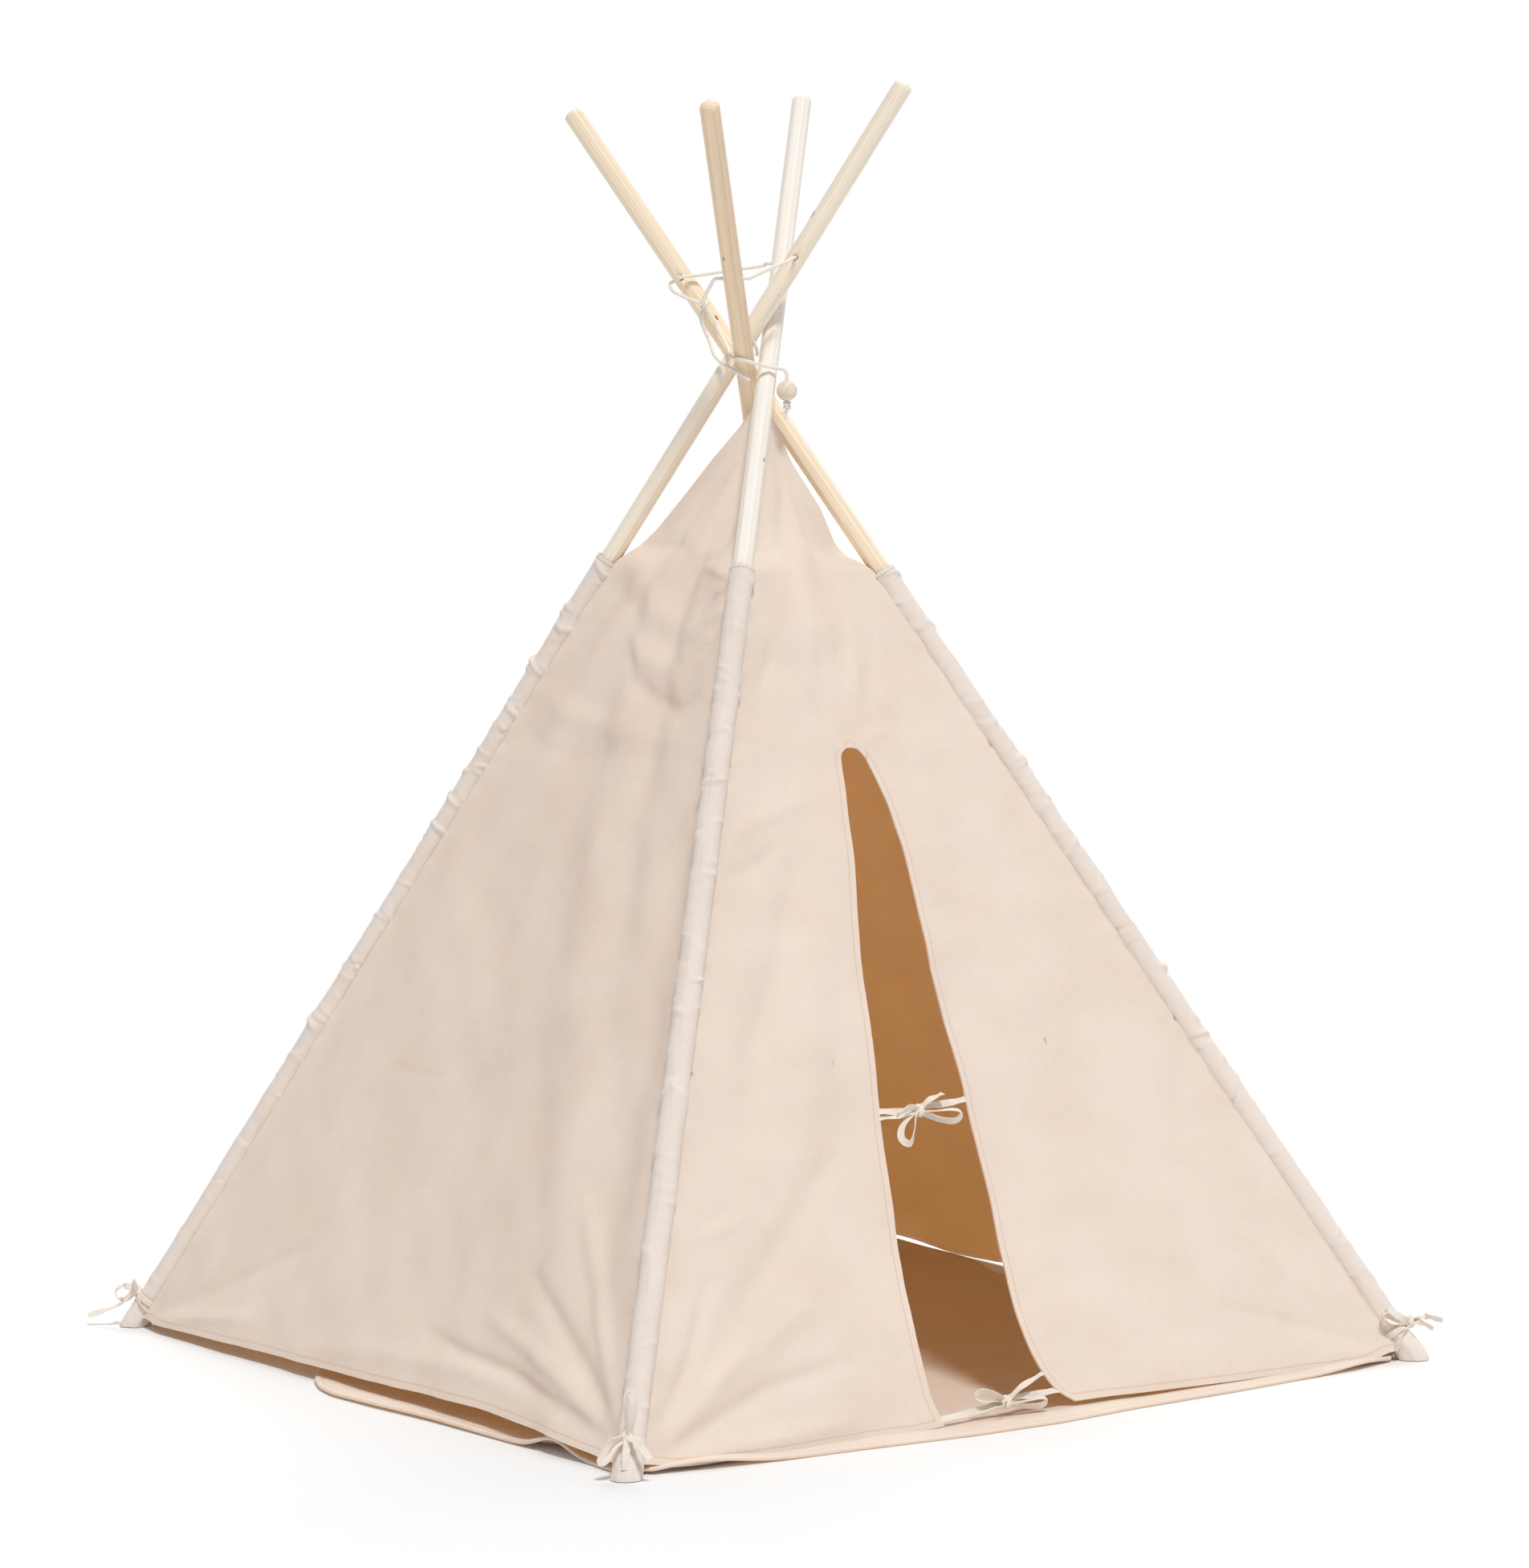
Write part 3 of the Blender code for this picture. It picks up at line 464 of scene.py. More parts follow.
        # The rim stands on the edges that only one face has
        edges = np.concatenate([np.stack([f, np.roll(f, -1, axis=1)], -1).reshape(-1, 2) for f in self.polygons])
        key = edges.min(1).astype(np.int64) * n + edges.max(1)
        _, place, times = np.unique(key, return_index=True, return_counts=True)
        rim = edges[place[times == 1]]
        rim = np.stack([rim[:, 1], rim[:, 0], rim[:, 0] + n, rim[:, 1] + n], axis=1)
        points = np.concatenate([self.points + shift, self.points - shift])
        inner = [f[:, ::-1] + n for f in self.polygons]
        rim_normal = unit(np.cross(points[rim[:, 1]] - points[rim[:, 0]], points[rim[:, 3]] - points[rim[:, 0]]))
        normals = [self.normals[f].reshape(-1, 3) for f in self.polygons]
        normals += [-self.normals[f - n].reshape(-1, 3) for f in inner]
        normals.append(np.repeat(rim_normal, 4, axis=0))
        return add_mesh(name, points, [*self.polygons, *inner, rim], finish, self.both_sides(), np.concatenate(normals))

    def both_sides(self) -> dict[str, Array]:
        """The attributes of a shell's points, the outer side's and then the inner side's."""
        return {"cloth": np.tile(self.cloth, (2, 1)), "sewing": np.tile(self.sewing, (2, 1))}


# Finishes


class Side(Enum):
    """Which hand a piece of the door wall is on, seen from outside."""

    LEFT = -1
    RIGHT = 1


@dataclass(frozen=True)
class Canvas:
    """Plain-woven cotton duck, unbleached and washed: matt, with a fine weave, a few slubs and soft
    blotches. It lets some warm light through, so that the inside glows a caramel brown."""

    name: str = "cotton_duck_unbleached"
    colour: str = "#DBD7CF"
    blotch: str = "#D7D1C8"
    stitch: str = "#CBB8A6"
    join: str = "#A88464"  # painted shade in the crevice where the cloth meets a sleeve
    through: str | None = "#90795B"  # what each side of the cloth lets pass
    thread: float = 1.3 * MM  # real threads are 0.5 mm apart: drawn coarser, so that the weave shows
    roughness: float = 0.92
    stitch_place: float = 8 * MM
    stitch_length: float = 3.2 * MM

    def build(self) -> Material:
        """A diffuse and translucent cloth with weave, slubs, blotches, lines of stitches, and painted shade beside the
        sleeves.
        """
        material, t, shader = new_material(self.name, self.roughness, 0.15)
        shader.inputs["Sheen Weight"].default_value = 0.06
        place, sewn = (add_node(t, "SeparateXYZ", inputs={0: attribute(t, key)}).outputs for key in ("cloth", "sewing"))
        flat = add_node(t, "CombineXYZ", inputs={"X": place["X"], "Y": place["Y"]})
        base = mix(t, spread(t, noise(t, flat, 9.0, 5.0), 0.38, 0.68), self.colour, self.blotch)
        # Warp and weft slubs, short thick lengths of thread each way, over an even speckle
        speckle = noise(t, flat, 1 / (2 * self.thread), 2.0)
        warp, weft = (noise(t, add_node(t, "Mapping", inputs={0: flat, "Scale": stretch}), 1 / (2 * self.thread), 1.0)
                      for stretch in ((1.0, 0.16, 1.0), (0.16, 1.0, 1.0)))
        weave = maths(t, "MULTIPLY_ADD", speckle, 1.5, maths(t, "ADD", warp, weft))
        tone = spread(t, weave, 1.2, 2.3, 0.975, 1.025)
        tinted = add_node(t, "VectorMath", {"operation": "SCALE"}, {0: base, "Scale": tone})
        # A row of stitches at a fixed distance from the sewn edge
        away = maths(t, "ABSOLUTE", maths(t, "SUBTRACT", place["Z"], self.stitch_place))
        line = spread(t, away, 0.5 * MM, 1.1 * MM, 1.0, 0.0)
        dash = maths(t, "LESS_THAN", maths(t, "FRACT", maths(t, "DIVIDE", sewn["X"], self.stitch_length)), 0.72)
        colour = mix(t, maths(t, "MULTIPLY", line, dash), tinted.outputs[0], self.stitch)
        # Painted shade: a narrow brown band beside each sleeve, where the cloth meets it
        colour = mix(t, spread(t, sewn["Y"], 1.6 * MM, 3.0 * MM, 0.26, 0.0), colour, self.join)
        dress(t, shader, colour, maths(t, "MULTIPLY_ADD", line, -0.8, weave), 0.25, 0.35 * MM)
        if self.through:
            glow = add_node(t, "BsdfTranslucent", inputs={"Color": linear(self.through)})
            total = add_node(t, "AddShader", inputs={0: shader, 1: glow})
            t.links.new(total.outputs[0], t.nodes["Material Output"].inputs["Surface"])
        return material


@dataclass(frozen=True)
class Tape:
    """Cotton twill tape: matt, off-white, with a fine slanting rib."""

    name: str = "cotton_twill_tape"
    colour: str = "#F6ECE1"
    shade: str = "#E8DACA"
    rib: float = 1.8 * MM  # real ribs are 0.8 mm apart: drawn coarser, so that they show
    roughness: float = 0.9

    def build(self) -> Material:
        """The material, which reads the place on the tape from the attribute "cloth"."""
        material, t, shader = new_material(self.name, self.roughness, 0.2)
        place = attribute(t, "cloth")
        turned = add_node(t, "Mapping", inputs={0: place, "Rotation": (0, 0, math.radians(35))})
        rib = add_node(t, "TexWave", {"bands_direction": "X"},
                       {"Vector": turned, "Scale": WAVE_SCALE / self.rib, "Distortion": 0.6}).outputs[1]
        colour = mix(t, maths(t, "MULTIPLY", rib, noise(t, place, 160.0, 3.0)), self.colour, self.shade)
        dress(t, shader, colour, rib, 0.35, 0.3 * MM)
        return material


@dataclass(frozen=True)
class Cord:
    """Twisted cotton cord: off-white, matt, with painted shade down between its strands, a little fuzzy."""

    name: str = "cotton_cord_twisted"
    colour: str = "#FAF4EB"
    # painted shade, down between the strands
    valley_shade: str = "#E6D9C8"
    roughness: float = 0.9

    def build(self) -> Material:
        """The material, with shade painted into the valleys between the strands. The attribute "strand" is 0 in the
        valleys and 1 on the strands.
        """
        material, t, shader = new_material(self.name, self.roughness)
        fuzz = noise(t, add_node(t, "TexCoord").outputs["Object"], 900.0, 3.0)
        # Painted shade: the valleys between the strands are darker
        colour = mix(t, attribute(t, "strand", "Fac"), self.valley_shade, self.colour)
        dress(t, shader, colour, fuzz, 0.4, 0.2 * MM)
        return material


@dataclass(frozen=True)
class Pine:
    """Planed and sanded pine, left raw: pale yellow wood with long grain, and a few small brown knots."""

    name: str = "pine_sanded"
    early: str = "#F4E7D6"
    late: str = "#E3CCB0"
    knot: str = "#8A5A34"
    ring: float = 4.5 * MM  # real growth rings are 2 to 3 mm apart: drawn coarser, so that they show
    roughness: float = 0.55

    def build(self, tail: str, turn: Matrix, centre: Array, knots: list[tuple]) -> Material:
        """The material for one turned or planed piece.

        Args:
            tail: the end of the material's name.
            turn: the piece's own axes as a 3 x 3 rotation, whose third column is the grain.
            centre: the piece's own origin.
            knots: the place of each knot on the piece's own axes, and its radius.

        Returns:
            The material, whose grain follows the piece.
        """
        material, t, shader = new_material(self.name + tail, self.roughness, 0.35)
        place = add_node(t, "TexCoord").outputs["Object"]
        own = add_node(t, "Mapping", {"vector_type": "TEXTURE"},
                       {0: place, "Location": tuple(centre), "Rotation": tuple(turn.to_euler())})
        # The grain is drawn out twenty-five times along the piece
        long = add_node(t, "Mapping", inputs={0: own, "Scale": (1.0, 1.0, 0.04)})
        drift = noise(t, long, 90.0, 4.0).outputs[1]
        bent = add_node(t, "VectorMath", {"operation": "SCALE"}, {0: drift, "Scale": 6 * MM})
        rings = add_node(t, "TexWave", {"bands_direction": "X"},
                         {"Vector": add_node(t, "VectorMath", {"operation": "ADD"}, {0: long, 1: bent}),
                          "Scale": WAVE_SCALE / self.ring, "Distortion": 1.5, "Detail": 2.0, "Detail Scale": 2.0})
        mixed = maths(t, "MULTIPLY_ADD", rings.outputs[1], 0.55, noise(t, long, 380.0, 2.0))
        colour = mix(t, spread(t, mixed, 0.35, 1.45), self.early, self.late)
        for *spot, size in knots:
            off = add_node(t, "VectorMath", {"operation": "SUBTRACT"}, {0: own, 1: spot})
            oval = add_node(t, "VectorMath", {"operation": "MULTIPLY"}, {0: off, 1: (1, 1, 0.5)})
            far = add_node(t, "VectorMath", {"operation": "LENGTH"}, {0: oval}).outputs["Value"]
            dark = spread(t, far, size * 0.5, size * 1.3, 0.85, 0.0)
            dark.interpolation_type = "SMOOTHSTEP"
            colour = mix(t, dark, colour, self.knot)
        dress(t, shader, colour, mixed, 0.08, 0.1 * MM)
        return material


@dataclass(frozen=True)
class StudioWhite:
    """The sweep of white paper that the teepee stands on."""

    name: str = "white_paper_sweep"
    colour: str = "#F1F1F1"
    lift: float = 0.02  # only for what the camera and mirrors see, so that the sweep is white

    def build(self) -> Material:
        """The material."""
        material, t, shader = new_material(self.name, 1.0, 0.0)
        shader.inputs["Base Color"].default_value = linear(self.colour)
        shader.inputs["Emission Color"].default_value = (1, 1, 1, 1)
        strength = maths(t, "MULTIPLY", seen_rays(t), self.lift)
        t.links.new(strength.outputs[0], shader.inputs["Emission Strength"])
        return material


# The poles' lines, which everything else follows


BASE_SIDE = 1.135
CROSSING_HEIGHT = 1.200
SLEEVE_TOP = 1.150  # from the foot, along the pole
CORNERS = {"front_left": (-1, -1), "front_right": (1, -1), "back_left": (-1, 1), "back_right": (1, 1)}
CROSSING_PLACE = {"front_left": (0.006, -0.027), "front_right": (0.014, 0.038),
                  "back_left": (-0.021, 0.017), "back_right": (-0.018, -0.014)}


class PoleLine:
    """One pole's axis, from its foot on the floor past the crossing."""

    def __init__(self, corner: str) -> None:
        """The axis of the pole at a corner of the base."""
        self.corner = corner
        self.foot = np.array([*CORNERS[corner], 0.0]) * BASE_SIDE / 2
        self.crossing = np.array([*CROSSING_PLACE[corner], CROSSING_HEIGHT])
        self.line = unit(self.crossing - self.foot)
        self.outward = level(self.foot - self.crossing)
        self.sideways = unit(np.cross(UP, self.outward))
        self.outer_side = unit(np.cross(self.line, self.sideways))
        if self.outer_side @ self.outward < 0:
            self.outer_side = -self.outer_side

    def at(self, place: Array) -> Array:
        """The axis points at distances from the foot."""
        return self.foot + self.line * np.asarray(place, float)[..., None]

    def beside(self, other: "PoleLine", place: Array, distance: float) -> Array:
        """Points at places from the foot, a distance from the axis on the side of another pole."""
        across = other.at(place) - self.at(place)
        across = unit(across - (across @ self.line)[..., None] * self.line)
        return self.at(place) + across * distance

    def rings(self, place: Array, radius: Array, angle: Array) -> Array:
        """Rings round the axis (places x angles x 3), from the outer side round to the right hand seen from outside."""
        spoke = np.cos(angle)[:, None] * self.outer_side + np.sin(angle)[:, None] * self.sideways
        return self.at(place)[:, None, :] + spoke[None] * radius[..., None]


POLES = {corner: PoleLine(corner) for corner in CORNERS}


def rise_between(left: PoleLine, right: PoleLine) -> Array:
    """The way up the middle of the wall between two poles, from the floor to the sleeves' tops."""
    return (left.at(SLEEVE_TOP) + right.at(SLEEVE_TOP)) / 2 - (left.foot + right.foot) / 2


@dataclass
class Poles:
    """Four planed poles with domed ends and a drilled hole above the crossing."""

    finish: Pine
    length: float = 1.820
    width: float = 0.0230  # across the flats
    corner: float = 0.18 * MM  # how softly the flats meet
    corner_limit: float = 1.052  # the corners' width against the flats'
    foot_lift: float = 0.012
    dome: float = 0.0075
    hole: float = 0.0072
    hole_ease: float = 1.8 * MM
    hole_rise: float = 0.1414  # from the crossing, along the pole
    around: int = 64
    # Knots on each pole: angle, distance from the foot, and radius
    knots: dict = fixed({
        "back_left": [(0.35, 1.640, 0.0032)], "front_left": [(1.2, 1.30, 0.0018)],
        "front_right": [(-0.8, 1.52, 0.0020)], "back_right": [(2.6, 1.62, 0.0016)]})
    # Each pole's early and late wood tones: partly the wood's own tone, partly painted light, palest on the front left
    # pole and darkest on the back right one
    wood_and_light_tones: dict = fixed({
        "front_left": ("#FFFBF4", "#F8EAD8"), "back_left": ("#FFF8EA", "#F8E0C4"),
        "front_right": ("#FFF2DA", "#F3D6B4"), "back_right": ("#F7E1C5", "#E4C7A3")})

    def hole_place(self) -> float:
        """The holes' distance from the foot, the same on every pole."""
        return float(np.mean([np.linalg.norm(p.crossing - p.foot) for p in POLES.values()])) + self.hole_rise

    def section(self, angle: Array) -> Array:
        """The radius at each angle of an octagon with softened corners: half its width over the cosine
        of the angle from the nearest flat's middle, eased off near the corner."""
        flat = (angle + math.pi / 8) % (math.pi / 4) - math.pi / 8
        sharp = self.width / 2 / np.cos(flat)
        limit = self.width / 2 * self.corner_limit
        return limit - np.log1p(np.exp((limit - sharp) / self.corner)) * self.corner

    def build(self) -> None:
        """Makes the four poles."""
        angle = (np.arange(self.around) + 0.5) * 2 * math.pi / self.around
        arc = np.linspace(0.02, 1, 9)[:-1] * math.pi / 2
        dome, scale = self.dome * (1 - np.cos(arc) ** 0.9), np.sin(arc) ** 0.62
        low, high = self.foot_lift, self.foot_lift + self.length
        place = np.concatenate([low + dome, np.linspace(low + self.dome, high - self.dome, 90), (high - dome)[::-1]])
        size = np.concatenate([scale, np.ones(90), scale[::-1]])
        shape = self.section(angle)[None] * size[:, None]
        for pole in POLES.values():
            knots = [(self.width / 2 * math.cos(a), self.width / 2 * math.sin(a), s, r)
                     for a, s, r in self.knots[pole.corner]]
            turn = Matrix(np.stack([pole.outer_side, np.cross(pole.line, pole.outer_side), pole.line], 1).tolist())
            # Partly painted light: the front left pole gets the palest wood and the back right pole the darkest
            early, late = self.wood_and_light_tones[pole.corner]
            finish = replace(self.finish, early=early, late=late).build("_" + pole.corner, turn, pole.foot, knots)
            obj = add_tube("pole_of_" + pole.corner, pole.rings(place, shape, angle), finish)
            self.drill(obj, pole)
            stand_for(obj, "pole_" + pole.corner, "leg_" + pole.corner)

    def drill(self, obj: Object, pole: PoleLine) -> None:
        """Cuts the lashing hole through a pole's object, with its edges eased."""
        reach = self.width * np.array([-1.0, -0.56, -0.47, 0.47, 0.56, 1.0])
        radius = self.hole / 2 + self.hole_ease * np.array([1, 1, 0, 0, 1, 1])
        angle = angles(28)
        across = unit(np.cross(pole.sideways, UP))
        spoke = np.cos(angle)[:, None] * across + np.sin(angle)[:, None] * unit(np.cross(pole.sideways, across))
        rings = pole.at(self.hole_place()) + reach[:, None, None] * pole.sideways + radius[:, None, None] * spoke[None]
        drill = add_tube("drill", rings, obj.data.materials[0])
        cut = obj.modifiers.new("hole", "BOOLEAN")
        cut.operation, cut.solver, cut.object = "DIFFERENCE", "EXACT", drill
        bpy.context.view_layer.update()
        mesh = bpy.data.meshes.new_from_object(obj.evaluated_get(bpy.context.evaluated_depsgraph_get()))
        obj.modifiers.clear()
        obj.data = mesh
        mesh.shade_smooth()
        mesh.set_sharp_from_angle(angle=math.radians(50))
        bpy.data.objects.remove(drill, do_unlink=True)


# The cover


@dataclass(frozen=True)
class Crease:
    """A fold pressed or pulled into the cloth along a line."""

    depth: float  # in mm, out of the tent where positive
    width: float  # in mm
    line: Array  # places as share across and share up

    @classmethod
    def table(cls, *rows: tuple) -> list["Crease"]:
        """Creases from rows of depth, width, and the line's places across and up in thousandths."""
        return [cls(depth, width, np.reshape(line, (-1, 2)) / 1000) for depth, width, *line in rows]

    def height(self, u: Array, h: Array, width_at: Array, slant: float) -> Array:
        """The cloth's rise: the depth times e to the minus squared distance over width, faded
        towards the line's two ends.

        Args:
            u: shares across.
            h: shares up.
            width_at: the wall's width at each point.
            slant: the wall's length for one share up.

        Returns:
            The rise at each point, in metres.
        """
        x, y = (u - 0.5) * width_at, h * slant
        row = np.interp(self.line[:, 1], h[:, 0], width_at[:, 0])
        spots = np.stack([(self.line[:, 0] - 0.5) * row, self.line[:, 1] * slant], axis=1)
        lengths = np.linalg.norm(np.diff(spots, axis=0), axis=1)
        total, before = lengths.sum(), 0.0
        best, place = np.full(x.shape, np.inf), np.zeros(x.shape)
        for (ax, ay), (dx, dy), size in zip(spots, np.diff(spots, axis=0), lengths):
            t = np.clip(((x - ax) * dx + (y - ay) * dy) / size ** 2, 0, 1)
            far = np.hypot(x - ax - t * dx, y - ay - t * dy)
            closer = far < best
            best = np.where(closer, far, best)
            place = np.where(closer, (before + t * size) / total, place)
            before += size
        fade = np.sqrt(np.clip(np.sin(math.pi * (0.06 + 0.88 * place)), 0, 1))
        return self.depth * MM * fade * np.exp(-(best / (self.width * MM)) ** 2)


LEFT_CREASES = Crease.table(
    (-15, 17, 720, 1020, 790, 1090, 900, 1175), (3, 10, 560, 1030, 600, 1090, 700, 1170),
    (-2.5, 9, 360, 1020, 440, 1100, 560, 1170), (2, 9, 200, 1020, 320, 1090),
    (4, 12, 450, 1035, 600, 1020, 740, 1025), (3.4, 6, 985, 995, 840, 1003, 700, 1003),
    (-5, 8, 985, 980, 860, 968, 760, 945), (5, 8, 985, 966, 880, 945, 780, 922),
    (-4, 10, 985, 950, 900, 915, 800, 900), (4.5, 15, 100, 1005, 300, 985, 470, 955, 660, 925),
    (-3.5, 15, 100, 975, 300, 950, 460, 920, 560, 905), (4, 15, 420, 915, 560, 890, 740, 865),
    (-5.5, 13, 420, 895, 500, 862, 630, 838, 780, 832, 860, 848), (3.5, 18, 500, 815, 660, 795, 820, 800),
    (4.5, 16, 80, 835, 260, 815, 520, 800), (-3, 20, 60, 790, 220, 768, 440, 762, 620, 775),
    (3.2, 38, 840, 700, 800, 476, 770, 277, 820, 160), (-6, 32, 940, 820, 930, 620, 910, 362, 900, 185),
    (-6.5, 12, 580, 88, 760, 72, 960, 38), (6, 13, 700, 130, 850, 98, 970, 50), (-7, 13, 770, 180, 890, 115, 978, 45),
    (5.5, 12, 840, 270, 920, 155, 980, 70), (4.5, 9, 20, 22, 110, 40, 215, 53), (-4.5, 12, 30, 36, 120, 75, 250, 145),
    (3, 14, 220, 300, 140, 170, 60, 70), (2.5, 14, 300, 30, 500, 55, 760, 60), (-1.4, 8, 240, 371, 380, 371),
    (-4, 12, 600, 1028, 300, 1022, 50, 1010), (-2.4, 60, 300, 660, 420, 400, 400, 200), (2.4, 60, 620, 620, 580, 350))
DOOR_CREASES = Crease.table(
    (2.4, 11, 620, 1180, 400, 1100, 220, 1030), (-2.6, 11, 660, 1180, 500, 1100, 360, 1010, 300, 950),
    (2, 10, 700, 1170, 600, 1090, 500, 1000), (2.4, 10, 560, 830, 600, 890, 660, 940),
    (1.6, 6, 535, 795, 600, 805, 660, 800), (-2.4, 11, 760, 1170, 680, 1080, 600, 970),
    (2.2, 9, 840, 1150, 780, 1070), (2.2, 17, 560, 1050, 420, 930, 360, 870),
    (-2.2, 15, 490, 990, 430, 900, 420, 840), (-2, 17, 660, 990, 540, 900, 480, 830),
    (-2.6, 12, 700, 900, 600, 850, 510, 800), (2.6, 15, 800, 930, 680, 840), (-2.6, 10, 340, 880, 400, 820, 455, 795),
    (-3, 12, 200, 930, 120, 860), (-5.5, 22, 280, 700, 190, 560, 130, 440, 110, 327),
    (4, 24, 300, 600, 240, 460, 220, 340), (-5.5, 20, 300, 349, 200, 250, 120, 170, 60, 100),
    (3.5, 16, 260, 200, 160, 130, 70, 75), (-6, 11, 20, 30, 80, 52, 160, 80, 260, 95),
    (-5, 11, 20, 50, 50, 120, 70, 200), (4.5, 10, 20, 20, 120, 32, 260, 40), (4.5, 11, 20, 42, 70, 80, 130, 130),
    (2, 9, 30, 245, 120, 265), (2.6, 12, 50, 698, 160, 715, 260, 730), (-2.6, 11, 40, 646, 120, 655, 200, 680),
    (-2.4, 11, 970, 720, 880, 620), (-2.4, 11, 980, 400, 900, 330), (-3.6, 10, 980, 35, 900, 65, 800, 95),
    (3, 12, 980, 70, 920, 120, 860, 220), (-2.6, 10, 985, 100, 960, 200), (4, 45, 620, 660, 700, 420, 720, 220),
    (-3, 40, 800, 550, 860, 300))
BACK_CREASES = Crease.table(
    (5, 11, 420, 1160, 350, 1100, 100, 970), (-6, 11, 600, 1160, 660, 1080, 880, 970),
    (-3.5, 10, 500, 1160, 500, 1040), (-6, 13, 300, 930, 660, 860, 900, 880), (4.5, 14, 120, 800, 500, 830),
    (-5, 24, 200, 600, 140, 220), (5, 24, 840, 550, 880, 180), (-4, 10, 30, 30, 200, 100),
    (-4, 10, 970, 30, 800, 100), (3.4, 40, 480, 620, 560, 300))
RIGHT_CREASES = Crease.table(
    (-6, 11, 440, 1160, 400, 1100, 120, 980), (5, 11, 620, 1160, 660, 1100, 900, 980), (3, 10, 540, 1150, 520, 1040),
    (-6, 13, 100, 930, 440, 870, 740, 900), (4.4, 14, 500, 800, 860, 780), (5, 22, 100, 550, 130, 240),
    (-5, 22, 880, 550, 840, 200), (4, 10, 30, 30, 220, 90), (-4, 10, 970, 30, 780, 120))


@dataclass
class Cover:
    """The canvas cover: three whole walls and a door wall, between sleeves and up to the peak."""

    finish: Material
    cloth: float = 1.3 * MM
    hem: float = 1.0 * MM
    hem_place: float = 0.021
    sleeve_radius: float = 0.0132
    fillet: float = 0.0040  # how far out the cloth leaves the sleeve's side
    sag: float = 0.010
    fold_depth: float = 0.010
    pucker: float = 0.9 * MM  # of the cloth beside a sleeve
    pucker_spacing: float = 0.034
    held_width: float = 0.05  # beside a sleeve, where the cloth keeps flat
    # Height and wavelength of the soft unevenness, coarse to fine
    unevenness: tuple = ((1.6 * MM, 0.20), (0.55 * MM, 0.075), (0.09 * MM, 0.022))
    peak_place: tuple = (-0.006, -0.019, 1.155)
    peak_radius: float = 0.00170002
    leg_inset: float = 0.020  # from the pole's line in to the outer line of the pieces beside a leg
    cone_share: float = 0.20  # the cone's rows run from 1 to 1.2
    bend: float = 0.07  # how far below and above the sleeves' tops the bend into the cone is rounded
    # The inward bulge of each corner of the cone: share of the way to the peak, and mm
    cone_bulge: dict = fixed({
        "front_right": ((0, 0), (0.09, 14), (0.18, 21), (0.40, 9), (0.67, 7), (0.87, -5), (1, 0)),
        "back_left": ((0, 0), (0.06, 4.5), (0.22, 11), (0.45, 9), (0.66, 6), (0.86, 6), (1, 0)),
        "front_left": ((0, 0), (0.15, 13), (0.35, 15), (0.70, 8), (1, 0)),
        "back_right": ((0, 0), (0.15, 13), (0.35, 15), (0.70, 8), (1, 0))})
    # Each long fold's place at the top, its place at the hem, its depth and its width
    folds: dict = fixed({
        "left": ((0.42, 0.95, 0.9, 0.08), (0.62, 0.97, -0.8, 0.06), (0.25, 0.05, 0.6, 0.07), (0.50, 0.50, -0.5, 0.15)),
        "back": ((0.40, 0.05, 0.8, 0.08), (0.60, 0.95, 0.8, 0.08), (0.50, 0.45, -0.6, 0.12)),
        "right": ((0.38, 0.05, 0.8, 0.07), (0.58, 0.96, 0.7, 0.08), (0.50, 0.55, -0.6, 0.13)),
        "door": ()})
    # The hem's height over the floor: share across, and mm
    hems: dict = fixed({
        "left": ((0, 14), (0.2, 19), (0.35, 21), (0.5, 24), (0.72, 31), (0.86, 27), (0.93, 20), (1, 15)),
        "back": ((0, 16), (0.3, 11), (0.6, 14), (1, 17)),
        "right": ((0, 16), (0.3, 10), (0.6, 14), (0.69, 14), (0.735, 9), (0.79, 7), (0.85, 7), (0.88, 9), (0.94, 14),
                  (1, 16)),
        "door": ((0, 12), (0.06, 9), (0.14, 8), (0.34, 8), (0.385, 12), (0.41, 19), (0.5, 16), (0.56, 16),
                 (0.64, 14), (0.74, 11), (0.84, 9), (0.94, 9), (1, 12))})
    flare: dict = fixed({"left": 12, "back": 8, "right": 3, "door": 3})  # of the hem, in mm
    rows: int = 270
    columns: int = 120
    # Heights where the pieces beside the legs are cut
    fold_levels: tuple = (0.0, 0.42, 0.72, 0.955)

    def corner_edge(self, pole: PoleLine, other: PoleLine, h: Array) -> Array:
        """The edge of a wall beside a pole: along the sleeve's side, then inside the pole to the peak.

        On the cone the edge is the straight line to the peak, pushed inwards by the bulge, and it
        leaves the sleeve's side over the first seventh.

        Args:
            pole: the pole.
            other: the wall's other pole.
            h: shares up, past 1 on the cone.

        Returns:
            One point for each share.
        """
        side = pole.beside(other, np.minimum(h, 1.0) * SLEEVE_TOP, self.sleeve_radius)
        q = np.clip((h - 1) / self.cone_share, 0, 1)
        start = pole.at(SLEEVE_TOP) - pole.outer_side * self.sleeve_radius
        end = np.array(self.peak_place) + self.peak_radius * pole.outward
        bulge = eased(q, self.cone_bulge[pole.corner], np.linspace(0, 1, 200), 21, "valid", 10) * np.minimum(q * 8, 1)
        line = start + (end - start) * q[:, None] - pole.outward * bulge[:, None]
        leave = (1 - smooth(q / 0.14))[:, None]
        return np.where((h <= 1)[:, None], side, line + (side - start) * leave)

    def edges(self, left: PoleLine, right: PoleLine, h: Array) -> tuple[Array, Array]:
        """The left and the right edge of the wall between two poles."""
        return self.corner_edge(left, right, h), self.corner_edge(right, left, h)

    def width(self, left: PoleLine, right: PoleLine, h: Array) -> Array:
        """The width of the wall between two poles, for each share up."""
        a, b = self.edges(left, right, h)
        return np.linalg.norm(b - a, axis=1)

    def dip(self, u: Array, h: Array) -> Array:
        """How far the cloth sags between its edges, in shares of the deepest sag."""
        return np.sin(math.pi * np.clip(u, 0, 1)) * np.sin(math.pi * (0.15 + 0.85 * np.clip(h, 0, 1))) ** 0.6

